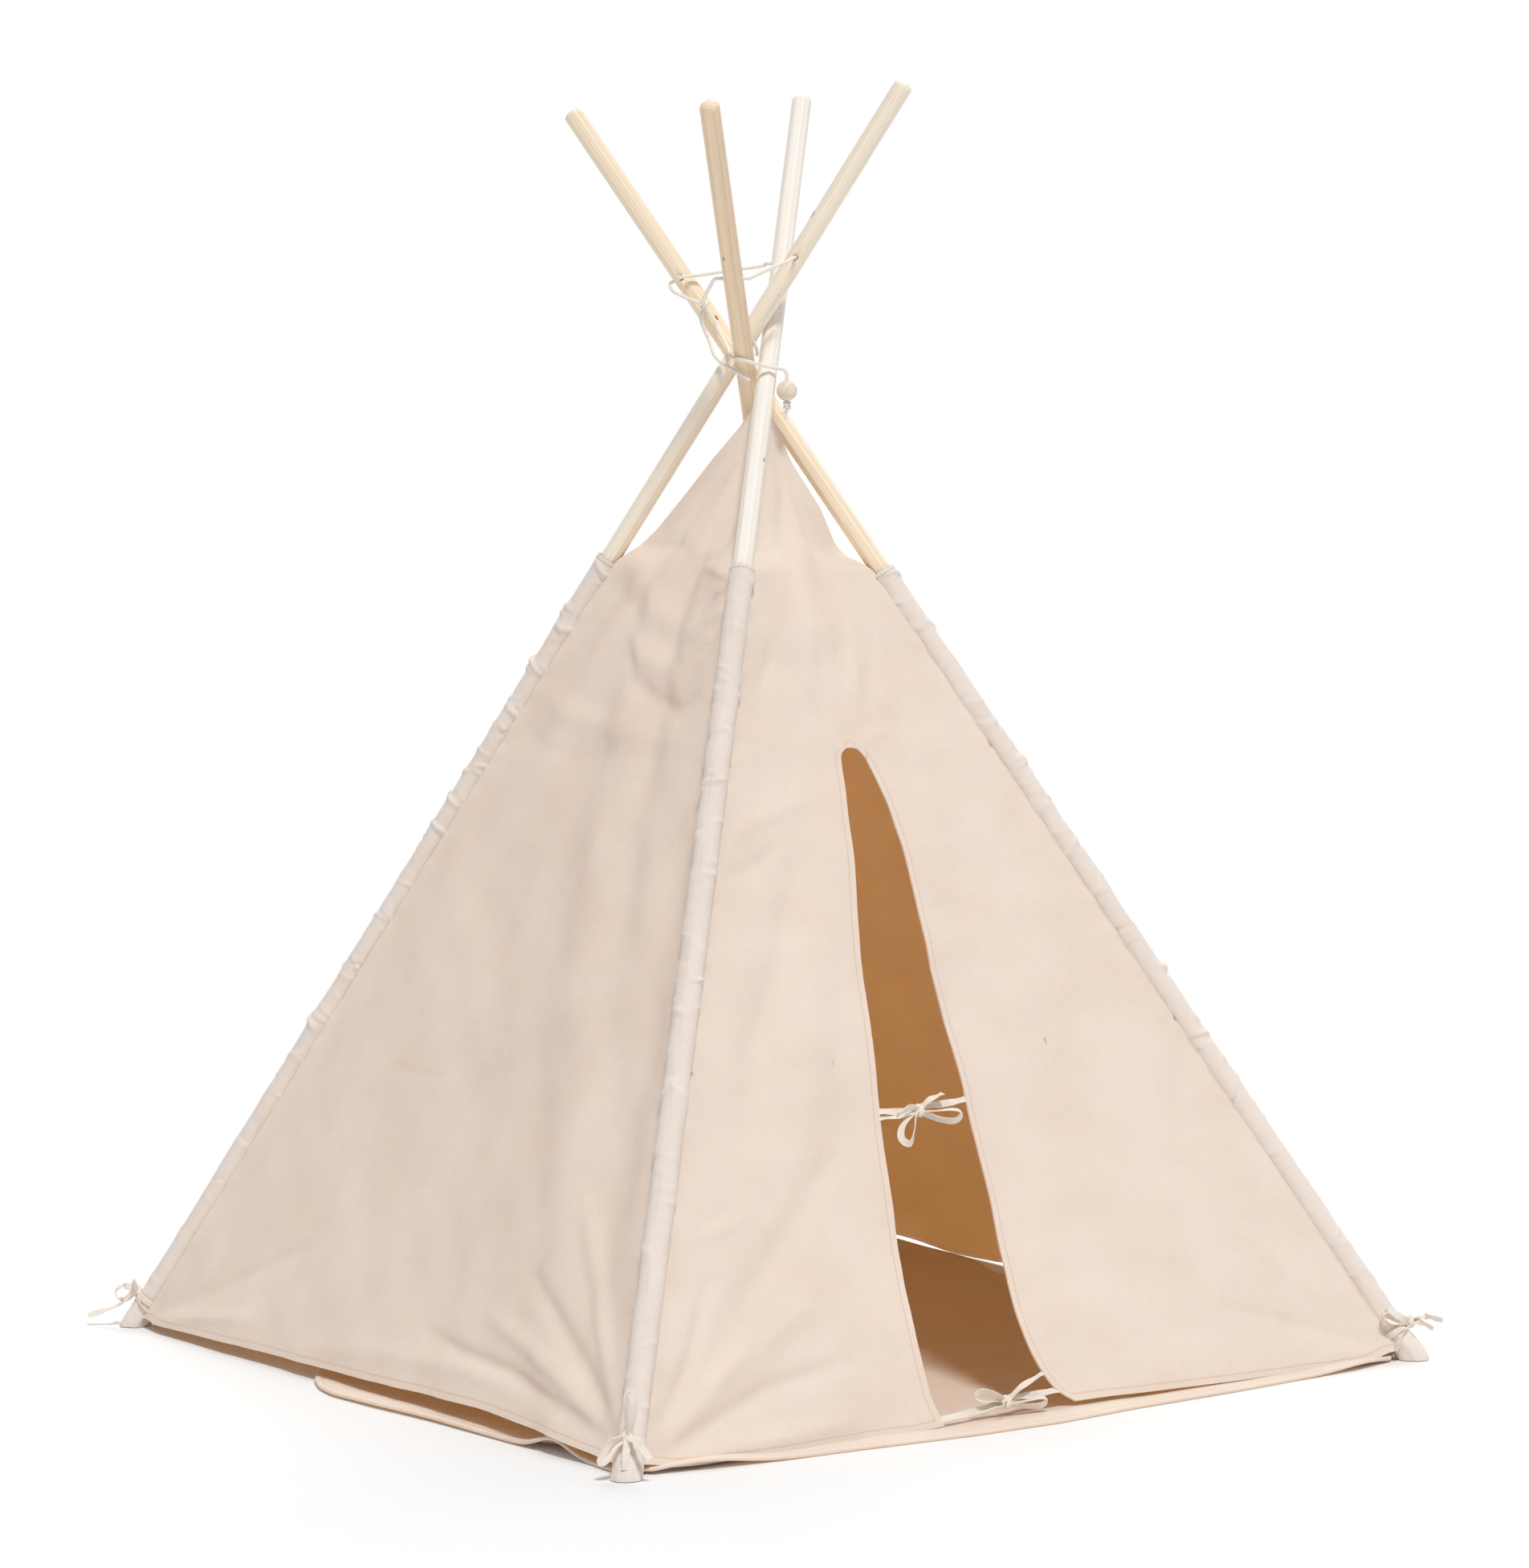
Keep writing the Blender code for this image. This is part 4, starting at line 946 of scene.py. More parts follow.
    def wall(self, left: PoleLine, right: PoleLine, name: str, creases: list[Crease], seed: int,
             u: Array, h: Array) -> tuple[Array, Array, Array]:
        """The points of a wall: the straight span between its two edges, moved level with the floor by
        a sag, the long folds, the creases, the puckers beside the sleeves and a soft unevenness. Near
        the hem it is drawn up or down its own slope to the hem's height. Where it turns into the cone,
        the bend is rounded away from the sleeves by the mean of the edges a little lower and higher.

        Args:
            left: the pole on the left, seen from outside.
            right: the pole on the right.
            name: which wall it is, for its long folds and its hem.
            creases: the short folds.
            seed: the number of the unevenness.
            u: shares across, rows x columns.
            h: shares up, one for each row.

        Returns:
            The points, the cloth's own coordinate across, and the one up.
        """
        ends = np.array(self.edges(left, right, h))
        around = np.mean([self.edges(left, right, h + d) for d in np.linspace(-self.bend, self.bend, 9)], axis=0)
        softer = (around - ends) * (1 - smooth((np.abs(h - 1) - self.bend) / 0.05))[:, None]
        way_up = rise_between(left, right)
        slope, slant = unit(way_up), float(np.linalg.norm(way_up))
        out = level(np.cross(right.foot - left.foot, way_up))
        width = np.linalg.norm(ends[1] - ends[0], axis=1)[:, None] * np.ones_like(u)
        hh = h[:, None] * np.ones_like(u)
        x, y = (u - 0.5) * width, hh * slant
        edge = np.minimum(u, 1 - u) * width
        span, held = np.sin(math.pi * np.clip(u, 0, 1)), smooth(edge / self.held_width)
        value = -self.sag * self.dip(u, hh)
        for top, bottom, depth, broad in self.folds[name]:
            centre = bottom + (top - bottom) * np.clip(hh, 0, 1)
            value += self.fold_depth * depth * np.exp(-((u - centre) / broad) ** 2) * span ** 0.5
        value *= 1 - 0.8 * smooth((hh - 0.9) / 0.25)
        for crease in creases:
            value += crease.height(u, hh, width, slant) * np.clip(span * 6, 0, 1) ** 0.5
        # All but the finest unevenness ends below the peak
        coarse, middling, fine = (high * ripple(x, y, length, seed + i)
                                  for i, (high, length) in enumerate(self.unevenness))
        value += held * (1 - smooth((hh - 1.12) / 0.06)) * (coarse + middling) + fine * held
        for away, pole in ((u * width, left), ((1 - u) * width, right)):
            beat = ripple(0 * y, y, self.pucker_spacing, seed + 3 + len(pole.corner))
            value += self.pucker * beat * np.exp(-away / 0.014) * smooth(away / 0.004) * (hh < 1)
            value += self.fillet * np.exp(-away / 0.012) * (1 - smooth((hh - 0.93) / 0.06))
        low = hh - self.hem_place / SLEEVE_TOP
        value += self.flare[name] * MM * span ** 0.7 * (1 - smooth(low / 0.24))
        points = between(ends, u) + out * value[..., None] + between(softer, u) * smooth(edge / 0.09)[..., None]
        hem = np.interp(u, *np.transpose(self.hems[name])) * MM
        drawn = (hem - self.hem_place * left.line[2]) * held / slope[2] * (1 - smooth(low / 0.09))
        return points + slope * drawn[..., None], x, y + drawn

    def join(self, u: Array, left: PoleLine, right: PoleLine, h: Array) -> Array:
        """The distance of each point from the nearer sleeve, and a metre on the cone."""
        return np.where((h < 1)[:, None], np.minimum(u, 1 - u) * self.width(left, right, h)[:, None], 1.0)

    def fold_pieces(self, sheet: Sheet, name: str, node: str, left: PoleLine, right: PoleLine, side: Side,
                    inner: list[tuple[float, float]], limits: list[tuple]) -> None:
        """Cuts one side of a wall into pieces between the crown and the leg beside it.

        Seen from outside, with x measured from the wall's middle towards the leg, a share is worked out
        for each piece that is 0 on the inner line and 1 on the sleeve's line. Between two levels a slanting
        cut makes two triangles, and in each the share is a plane through its three corners, so that
        neighbours agree along their cut.

        Args:
            sheet: the side of the wall.
            name: the start of the pieces' names.
            node: the CAD node that they stand for.
            left: the pole on the left.
            right: the pole on the right.
            side: the side of the wall.
            inner: the inner line's places, x and height, at each level.
            limits: planes that bound every piece.
        """
        along = unit(right.foot - left.foot) * side.value
        middle = (left.foot + right.foot) / 2
        pole = right if side is Side.RIGHT else left
        out = level(np.cross(right.foot - left.foot, UP))
        foot_x, top_x = (float((end - middle) @ along) - self.leg_inset for end in (pole.foot, pole.crossing))
        sleeve = [(foot_x + (top_x - foot_x) * z / CROSSING_HEIGHT, z) for _, z in inner]

        def spot(place: tuple[float, float]) -> Array:
            """The point at a place."""
            return middle + along * place[0] + UP * place[1]

        def plane(a: tuple[float, float], b: tuple[float, float], keep: tuple[float, float]) -> tuple:
            """The upright plane through two places, which keeps the side of a third."""
            normal = unit(np.cross(spot(b) - spot(a), out))
            return spot(a), normal * np.sign(normal @ (spot(keep) - spot(a)))

        whole = 0
        for k, ((low, high), (low_out, high_out)) in enumerate(zip(zip(inner, inner[1:]), zip(sleeve, sleeve[1:]))):
            outer = (low_out, high_out, (1.0, 1.0), [plane(low, low_out, high_out)] if k else [])
            within = (high, high_out, (0.0, 1.0), [plane(high, high_out, low)] if k < len(inner) - 2 else [])
            for letter, (second, third, shares, bounds) in zip("ab", (outer, within)):
                part = sheet.cut([plane(low, high_out, second), *bounds, *limits])
                if not part.polygons:
                    continue
                slope = np.linalg.solve([np.subtract(second, low), np.subtract(third, low)], shares)
                start = spot(low)
                obj = part.shell("%s_%d%s" % (name, k + 1, letter), self.finish, self.cloth, self.hem)
                self.hang(obj, part, node, "stretched", pole)
                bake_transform(obj)
                whole += 1
        LOG.info("%s: %d pieces", name, whole)

    @staticmethod
    def hang(obj: Object, sheet: Sheet, node: str, held: str, pole: PoleLine) -> None:
        """Works out a cloth's flat size and says which CAD node it stands for."""
        width, length, area = sheet.flat_size()
        stand_for(obj, node)
        min(area, width * length)

    def build(self) -> None:
        """Makes the three whole walls, each in two sides."""
        cone_rows = self.rows // 5
        h = np.concatenate([np.linspace(self.hem_place / SLEEVE_TOP, 1, self.rows - cone_rows),
                            np.linspace(1, 1 + self.cone_share, cone_rows + 1)[1:]])
        for name, left, right, creases, seed in (("left", "back_left", "front_left", LEFT_CREASES, 11),
                                                 ("back", "back_right", "back_left", BACK_CREASES, 23),
                                                 ("right", "front_right", "back_right", RIGHT_CREASES, 37)):
            poles = POLES[left], POLES[right]

            def surface(u: Array, h: Array) -> tuple[Array, Array, Array]:
                """This wall's formula."""
                return self.wall(*poles, name, creases, seed, u, h)

            def seam(u: Array, x: Array, y: Array) -> tuple[Array, Array, Array]:
                """The nearest sewn edge is the hem."""
                return y - y[:1], x, self.join(u, *poles, h)

            for side in Side:
                half = np.linspace(0, 0.5, self.columns) + (0.5 if side is Side.RIGHT else 0)
                sheet = Sheet.of_surface(surface, np.broadcast_to(half, (len(h), self.columns)), h, 0.002, seam)
                self.fold_pieces(sheet, "wall_of_%s_%s" % (name, side.name.lower()), "wall_" + name, *poles, side,
                                 [(0.0, z) for z in self.fold_levels], [])


@dataclass
class DoorWall:
    """The door wall: two sewn panels and two loose flaps beside the slit, cut from one surface."""

    cover: Cover
    hinge_place: float = 0.330
    hinge_top: float = 0.020
    door_height: float = 0.893
    middle_shift: float = -0.009  # of the slit's top
    slit_top: float = 0.906
    hinge_bend: float = 0.035
    binding: float = 1.0 * MM
    slack: float = 0.55  # the share of the sag that the slit's edges don't take part in
    roll_reach: float = 0.05
    roll: dict = fixed({Side.LEFT: 4.0 * MM, Side.RIGHT: 7.0 * MM})  # of the slit's edges
    # The slit's edges, bound with tape: distance from the wall's middle and place up the sleeves, in 0.1 mm
    slit: dict = fixed({
        Side.LEFT: (-1390, 210, -1435, 400, -1470, 648, -1475, 1100, -1455, 1600, -1375, 2304, -1213, 3553,
                    -1007, 4922, -809, 6312, -530, 7826, -370, 8500, -300, 8820, -262, 8960, -180, 9040, -90, 9060),
        Side.RIGHT: (520, 210, 330, 360, 190, 560, 80, 860, 30, 1200, 19, 1500, 40, 2029, 88, 2769, 107, 3410,
                     130, 4054, 150, 4591, 142, 5465, 145, 6451, 180, 7333, 190, 8108, 150, 8558, 80, 8880, 5, 9025,
                     -90, 9060)})

    def __post_init__(self) -> None:
        """Works out the wall's own directions."""
        self.left, self.right = self.poles = POLES["front_left"], POLES["front_right"]
        self.along = unit(self.right.foot - self.left.foot)
        self.out = unit(np.cross(self.right.foot - self.left.foot, rise_between(*self.poles)))
        self.slope = unit(np.cross(self.out, self.along))

    def edge_x(self, side: Side, place: Array) -> Array:
        """The slit edge's distance from the middle, eased between its points."""
        spots = np.reshape(self.slit[side], (-1, 2)) / 10000
        path = curve_through(np.column_stack([spots, np.zeros(len(spots))]), 12)
        return np.interp(place, path[:, 1], path[:, 0])

    def surface(self, x: Array, h: Array) -> tuple[Array, Array, Array]:
        """Points of the wall at distances from its middle, one row for each share up.

        The wall is the cover's own formula, less some of the sag near the slit, whose edges roll
        outwards by a few millimetres that fade with e to the minus distance.

        Args:
            x: distances from the middle, rows x columns.
            h: shares up, one for each row.

        Returns:
            The points, the cloth's own coordinate across, and the one up.
        """
        u = 0.5 + x / self.cover.width(*self.poles, h)[:, None]
        points, across, up = self.cover.wall(*self.poles, "door", DOOR_CREASES, 51, u, h)
        place = np.minimum(h, 1) * SLEEVE_TOP
        moved = self.slack * self.cover.sag * self.cover.dip(u, h[:, None])
        for side, roll in self.roll.items():
            far = (x - self.edge_x(side, place)[:, None]) * side.value
            moved += roll * np.exp(-np.abs(far) / self.roll_reach)
        moved *= (1 - smooth((h - 0.66) / 0.14))[:, None]
        return points + level(self.out) * moved[..., None], across, up

    def middle(self, place: float) -> Array:
        """The wall's middle at a place up the sleeves, without the sag."""
        return sum(self.cover.edges(*self.poles, np.array([place / SLEEVE_TOP])))[0] / 2

    def rows(self) -> Array:
        """Shares up for the rows, closer at the slit's top."""
        low = np.linspace(self.cover.hem_place, 0.870, 180)
        top = np.linspace(0.870, self.slit_top, 34)[1:]
        high = np.linspace(self.slit_top, SLEEVE_TOP, 54)[1:]
        cone = np.linspace(1, 1 + self.cover.cone_share, 50)[1:]
        return np.concatenate([np.concatenate([low, top, high]) / SLEEVE_TOP, cone])

    def build(self) -> None:
        """Makes the panels and the flaps: each side of the wall is one sheet, cut along the hinge line."""
        h = self.rows()
        place = np.minimum(h, 1) * SLEEVE_TOP
        half_width = self.cover.width(*self.poles, h) / 2
        t = np.linspace(0, 1, 150)[None]
        high = self.middle(self.slit_top) + self.along * self.middle_shift
        top = float(self.middle(self.door_height)[2])
        for side, pole in zip(Side, self.poles):
            name = side.name.lower()
            above = self.middle_shift * (1 - smooth((h - 0.80) / 0.15))
            inner = np.where(place < self.slit_top, self.edge_x(side, place), above)
            first, last = (-half_width, inner) if side is Side.LEFT else (inner, half_width)
            x = first[:, None] * (1 - t) + last[:, None] * t

            def seam(x: Array, across: Array, up: Array) -> tuple[Array, Array, Array]:
                """The nearest sewn edge is the hem or this side's edge of the slit."""
                far = np.maximum((x - self.edge_x(side, place)[:, None]) * side.value, 0)
                slit = np.hypot(far, np.maximum(place - self.slit_top, 0)[:, None])
                hem = up - up[:1]
                u = 0.5 + x / (2 * half_width)[:, None]
                return np.minimum(hem, slit), np.where(hem < slit, across, up), self.cover.join(u, *self.poles, h)

            sheet = Sheet.of_surface(self.surface, x, h, 0.001, seam)
            low = self.middle(self.cover.hem_place) + self.along * side.value * self.hinge_place
            way = unit(np.cross(self.out, high - low))
            way *= -side.value * np.sign(way @ self.along)
            cut = unit(np.cross(high - low, level(self.out)))
            cut *= np.sign(cut @ self.along) * side.value
            inner_line = [(self.hinge_place, 0.0), (self.hinge_place * 0.45 + self.hinge_top * 0.55, top * 0.55),
                          (self.hinge_top, top), (self.hinge_top, self.cover.fold_levels[-1])]
            self.cover.fold_pieces(sheet, "door_panel_of_" + name, "door_panel_" + name, *self.poles, side,
                                   inner_line, [(low, cut)])
            flap = sheet.cut([(low, -cut)])
            obj = flap.shell("door_flap_of_" + name, self.cover.finish, self.cover.cloth, self.binding)
            self.cover.hang(obj, flap, "door_flap_" + name, "hung", pole)
            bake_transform(obj)


@dataclass
class Sleeves:
    """The sewn sleeves round the poles, their closed feet and the seams beside them."""

    finish: Material
    radius: float = 0.0142
    cloth: float = 1.2 * MM
    cuff_top: float = 0.040
    cuff_radius: float = 0.0162
    cuff_bottom: float = -0.018
    cuff_close: float = 0.0145  # the length over which the cup closes
    floor_gap: float = 0.8 * MM
    around: int = 48
    # Places up the sleeve where it has slipped down and gathered
    rucks: tuple = (0.38, 0.46, 0.55, 0.62, 0.74, 0.80, 0.86, 0.90, 0.93, 0.99, 1.06, 1.135)
    ruck_ridges: int = 6  # at each of these places
    stray_ridges: int = 110

    def gathers(self, place: Array, angle: Array, seed: int) -> Array:
        """Crosswise rucks: narrow ridges round the sleeve, each with its own place, slant, width,
        height and reach round the tube.

        Args:
            place: distances from the foot, one for each ring.
            angle: the angles round the axis.
            seed: the sleeve's number.

        Returns:
            The rise in metres, rings x angles.
        """
        chance = np.random.default_rng(seed)
        total = np.zeros((len(place), len(angle)))
        spots = [(c + chance.normal(0, 0.007), 2.9) for c in self.rucks for _ in range(self.ruck_ridges)]
        spots += [(chance.uniform(0.06, SLEEVE_TOP - 0.02), 1.4) for _ in range(self.stray_ridges)]
        for centre, strong in spots:
            slant = chance.uniform(-0.010, 0.010)
            broad = chance.uniform(0.0026, 0.0052)
            high = strong * chance.uniform(0.4, 1.2) * MM * (1 if chance.random() < 0.65 else -0.8)
            facing, reach = chance.uniform(0, 2 * math.pi), chance.uniform(0.9, 2.4)
            off = place[:, None] - centre - slant * np.sin(angle - facing)[None]
            turn = np.abs((angle - facing + math.pi) % (2 * math.pi) - math.pi)
            total += high * np.exp(-(off / broad) ** 2) * (1 - smooth(turn / reach))[None]
        return total

    def build(self) -> None:
        """Makes the sleeve and the closed foot on each pole."""
        angle = angles(self.around)
        place = np.linspace(self.cuff_top - 0.004, SLEEVE_TOP, 640)
        for seed, pole in enumerate(POLES.values()):
            wide = self.radius + 0.35 * MM * ripple(angle[None] * self.radius, place[:, None], 0.09, 70 + seed, 8)
            wide = np.maximum(wide + self.gathers(place, angle, 90 + seed), self.radius - 0.6 * MM)
            # The mouth is turned in and flares a little
            wide += 0.9 * MM * smooth((place - SLEEVE_TOP + 0.020) / 0.004)[:, None]
            seam = np.minimum(SLEEVE_TOP - place + 0.003, 0.3)[:, None]
            sheet = Sheet.of_tube(pole.rings(place, wide, angle), angle[None] * self.radius, place[:, None], seam)
            obj = sheet.shell("sleeve_of_" + pole.corner, self.finish, self.cloth)
            self.declare(obj, pole, "sleeve_" + pole.corner, self.radius, SLEEVE_TOP - self.cuff_top)
            self.build_foot(pole, angle, seed)

    def build_foot(self, pole: PoleLine, angle: Array, seed: int) -> None:
        """The closed foot: a cup whose bottom is pressed flat on the floor, with gathers.

        Rings round the pole swell to the cup's radius and close below the pole's end. Every point
        under the floor is raised to it.

        Args:
            pole: the pole.
            angle: the angles round the axis.
            seed: the pole's number.
        """
        place = np.concatenate([np.linspace(self.cuff_bottom, -self.cuff_close, 6),
                                np.linspace(-self.cuff_close, self.cuff_top + 0.003, 60)[1:]])
        share = np.clip((place - self.cuff_bottom) / self.cuff_close, 0.02, 1)
        wide = self.cuff_radius * np.sqrt(1 - (1 - share) ** 2) * (1.07 - 0.12 * smooth((place - 0.004) / 0.03))
        chance = np.random.default_rng(seed + 300)
        waves = sum(chance.uniform(0.2, 0.5)
                    * np.sin(k * angle[None] + chance.uniform(0, 6) + place[:, None] * 90 * (k % 3 - 1))
                    for k in (3, 5, 7, 9))
        wide = wide[:, None] + 1.2 * MM * waves * np.clip(share, 0.2, 1)[:, None]
        grid = pole.rings(place, wide, angle)
        # The cloth is pressed flat where it meets the floor
        grid[..., 2] = np.maximum(grid[..., 2], self.floor_gap)
        sheet = Sheet.of_tube(grid, angle[None] * self.cuff_radius, place[:, None], 0.3)
        spokes = unit(pole.rings(place, np.ones_like(wide), angle) - pole.at(place)[:, None]).reshape(-1, 3)
        inner = np.maximum(sheet.points - spokes * self.cloth, [-9, -9, self.floor_gap + self.cloth])
        n, faces = len(sheet.points), sheet.polygons[0]
        base = np.arange(self.around)[::-1][None]
        top = n - self.around + np.arange(self.around)
        rim = np.stack([top, np.roll(top, -1), np.roll(top, -1) + n, top + n], axis=1)
        obj = add_mesh("foot_cuff_of_" + pole.corner, np.concatenate([sheet.points, inner]),
                       [faces, base, faces[:, ::-1] + n, base[:, ::-1] + n, rim], self.finish, sheet.both_sides())
        self.declare(obj, pole, "foot_cuff_" + pole.corner, self.cuff_radius, 0.056)

    @staticmethod
    def declare(obj: Object, pole: PoleLine, node: str, radius: float, length: float) -> None:
        """Says what a sleeve's piece rides on and stands for."""
        stand_for(obj, node, "leg_" + pole.corner)


# The ties


@dataclass
class Ties:
    """Flat tapes: the bows across the slit, their straps, and a bow round each foot."""

    finish: Material
    door: DoorWall
    width: float = 0.0085
    thick: float = 0.0011
    tilt: float = math.radians(55)
    foot_tilt: float = math.radians(32)
    curl: float = 0.25
    knot_size: tuple = (0.0080, 0.0070, 0.0055)
    bow_reach: float = 0.050
    foot_tie_place: float = 0.041
    foot_radius: float = 0.0166
    wrap: float = math.radians(125)
    strap_sag: float = 1.2 * MM
    step: float = 0.0016  # from section to section
    cup: float = 0.12
    # The routes of each bow's loops and tails: places along, up and out, in hundredths of the bow's reach
    door_bow: dict = fixed({
        "right_loop": (4, -4, 4, 40, -10, 16, 80, -12, 20, 100, -18, 20, 100, -30, 18, 80, -38, 14, 40, -28, 10,
                       4, -6, 4),
        "left_loop": (-2, -2, 2, -26, -22, 14, -44, -56, 20, -64, -82, 20, -80, -66, 14, -64, -36, 8, -28, -12, 4,
                      -2, 0, 2),
        "right_tail": (4, 4, 6, 24, 18, 18, 62, 28, 24),
        "left_tail": (-4, 2, 4, -36, 4, 18, -80, -12, 22)})
    threshold_bow: dict = fixed({
        "right_loop": (4, -6, 6, 40, -8, 18, 80, -6, 24, 96, -14, 24, 80, -24, 20, 40, -18, 12, 4, -6, 6),
        "left_loop": (-4, 2, 2, -40, 20, 14, -76, 28, 20, -96, 18, 20, -76, 6, 16, -40, 4, 8, -4, 0, 2),
        "right_tail": (4, 4, 6, 40, 26, 20, 110, 50, 20),
        "left_tail": (-2, 0, 4, -24, -12, 20, -48, -20, 32)})
    foot_bows: dict = fixed({
        "front_left": {
            "upright_loop": (0, 2, 2, 4, 36, 16, 6, 80, 26, 14, 106, 30, 24, 80, 28, 16, 36, 16, 2, 2, 2),
            "side_loop": (-2, 0, 2, -26, -6, 22, -42, -28, 34, -50, -50, 40, -36, -44, 36, -22, -20, 16, -2, -2, 2),
            "low_tail": (2, -2, 6, 4, -36, 26, 3, -66, 34),
            "side_tail": (4, 0, 4, 30, -6, 24, 62, -40, 40)},
        "back_left": {
            "side_loop": (0, 0, 2, 6, 10, 30, 8, -2, 50, 6, -22, 48, 6, -24, 26, 2, -4, 2),
            "short_loop": (0, 2, 0, 20, 24, 2, 30, 14, -12, 14, 2, 0),
            "long_tail": (4, -2, 6, 10, -34, 36, 12, -50, 72, 12, -68, 124),
            "low_tail": (4, -2, 0, 34, -28, -20, 30, -62, -44)},
        "front_right": {
            "near_loop": (-2, 0, 2, -30, 12, -14, -40, 34, -50, -50, 20, -60, -40, 4, -40, -2, 0, 0),
            "far_tail": (0, 2, 4, -5, 14, 36, -8, 6, 80),
            "second_tail": (0, -2, 4, -12, 0, 30, -16, -14, 58),
            "low_tail": (-2, -4, 0, -42, -36, -18, -40, -64, -30)},
        "back_right": {
            "upright_loop": (0, 2, 2, 4, 30, 16, 10, 62, 26, 24, 58, 24, 20, 30, 16, 2, 2, 2),
            "low_tail": (2, -2, 6, 10, -36, 30, 12, -64, 50),
            "side_tail": (4, 0, 4, 30, -6, 24, 62, -36, 40)}})

    def ribbon(self, name: str, path: Array, out: Array, tilt: float, curl: float) -> Object:
        """A flat tape along a path, whose width leans from the surface by the tilt and is slightly cupped.

        The section is a rounded oblong of twelve points, whose middle rises for the cup.

        Args:
            name: the object's name.
            path: the middle line's points.
            out: the way that the surface under it faces.
            tilt: the width's lean.
            curl: how much the lean changes along the tape.

        Returns:
            The object.
        """
        path = evenly(path, self.step)
        run = lengths_along(path)
        along = unit(np.gradient(path, axis=0))
        flat = unit(np.cross(along, out))
        upright = unit(np.cross(flat, along))
        lean = tilt + curl * np.sin(3 * math.pi * run / run[-1])
        wide = flat * np.cos(lean)[:, None] + upright * np.sin(lean)[:, None]
        w = np.array([-0.5, -0.47, -0.25, 0.25, 0.47, 0.5, 0.5, 0.47, 0.25, -0.25, -0.47, -0.5])
        t = np.array([-0.25, -0.5, -0.5, -0.5, -0.5, -0.25, 0.25, 0.5, 0.5, 0.5, 0.5, 0.25]) * self.thick
        return self.tape(name, path, wide, unit(np.cross(along, wide)), w * self.width,
                         t + self.cup * (0.25 - w ** 2) * self.width)

    def tape(self, name: str, path: Array, wide: Array, thin: Array, w: Array,
             t: Array) -> Object:
        """A section, given by its places across and out, carried along a path with its ways across and out."""
        rings = path[:, None] + wide[:, None] * w[None, :, None] + thin[:, None] * t[None, :, None]
        return add_tube(name, rings, self.finish, {"cloth": stacked(lengths_along(path)[:, None], w[None], 0.0)})

    def knot(self, name: str, centre: Array, axes: Array) -> Object:
        """A tied knot: an uneven ball with a band of tape pulled over it. The radius is one plus two sine terms of
        the angles, which makes the folds, and the ball is stretched by its half sizes along, up and out."""
        polar, turn = np.linspace(0.02, math.pi - 0.02, 26)[:, None], angles(40)[None]
        radius = 1 + 0.10 * np.sin(3 * turn + 4 * polar) * np.sin(polar) + 0.07 * np.cos(5 * polar + 2 * turn)
        radius += 0.16 * np.exp(-((polar - math.pi / 2) / 0.42) ** 2)
        ball = np.stack([-np.cos(polar) + 0 * turn, np.sin(polar) * np.cos(turn), np.sin(polar) * np.sin(turn)], -1)
        grid = centre + ball * radius[..., None] * np.array(self.knot_size) @ axes
        return add_tube(name, grid, self.finish, {"cloth": stacked(turn * 0.006, polar * 0.006, 0.0)})

    def bow(self, name: str, routes: dict, centre: Array, along: Array, up: Array,
            out: Array, tilt: float) -> list[Object]:
        """A knot with its loops and tails, whose routes are places along, up and out of the cloth, in hundredths of
        the bow's reach."""
        axes = np.array([along, up, out])
        pieces = [self.knot(name + "_knot", centre, axes)]
        for part, route in routes.items():
            path = curve_through(centre + self.bow_reach * np.reshape(route, (-1, 3)) / 100 @ axes, 10)
            pieces.append(self.ribbon(name + "_" + part, path, out, tilt, self.curl))
        return pieces

    @staticmethod
    def join(pieces: list[Object], name: str, node: str, body: str) -> None:
        """Makes one object of a tie's pieces and says what it rides on.

        Args:
            pieces: the knot, loops, tails and straps.
            name: the tie's name.
            node: the CAD node.
            body: the body that carries it.
        """
        whole = bmesh.new()
        for piece in pieces:
            whole.from_mesh(piece.data)
        mesh = pieces[0].data.copy()
        whole.to_mesh(mesh)
        whole.free()
        mesh.shade_smooth()
        mesh.set_sharp_from_angle(angle=math.radians(45))
        for piece in pieces:
            bpy.data.objects.remove(piece, do_unlink=True)
        stand_for(add_object(name, mesh), node, body)

    def tape_end(self, side: Side, place: float) -> Array:
        """The slit's edge at a place up the sleeves, where a tape is sewn on."""
        h = np.array([place / SLEEVE_TOP, place / SLEEVE_TOP + 0.002])
        x = np.full((2, 2), float(self.door.edge_x(side, np.array(place))) + side.value * 0.003)
        return self.door.surface(x, h)[0][0, 0]

    def strap(self, name: str, start: Array, end: Array, lean: float, curl: float) -> Object:
        """A tape across the slit that sags a little between its ends; its width leans by degrees, and curls."""
        middle = (start + end) / 2 - self.door.slope * self.strap_sag
        path = curve_through(np.array([start, middle, end]), 12)
        return self.ribbon(name, path, self.door.out, math.radians(lean), curl)

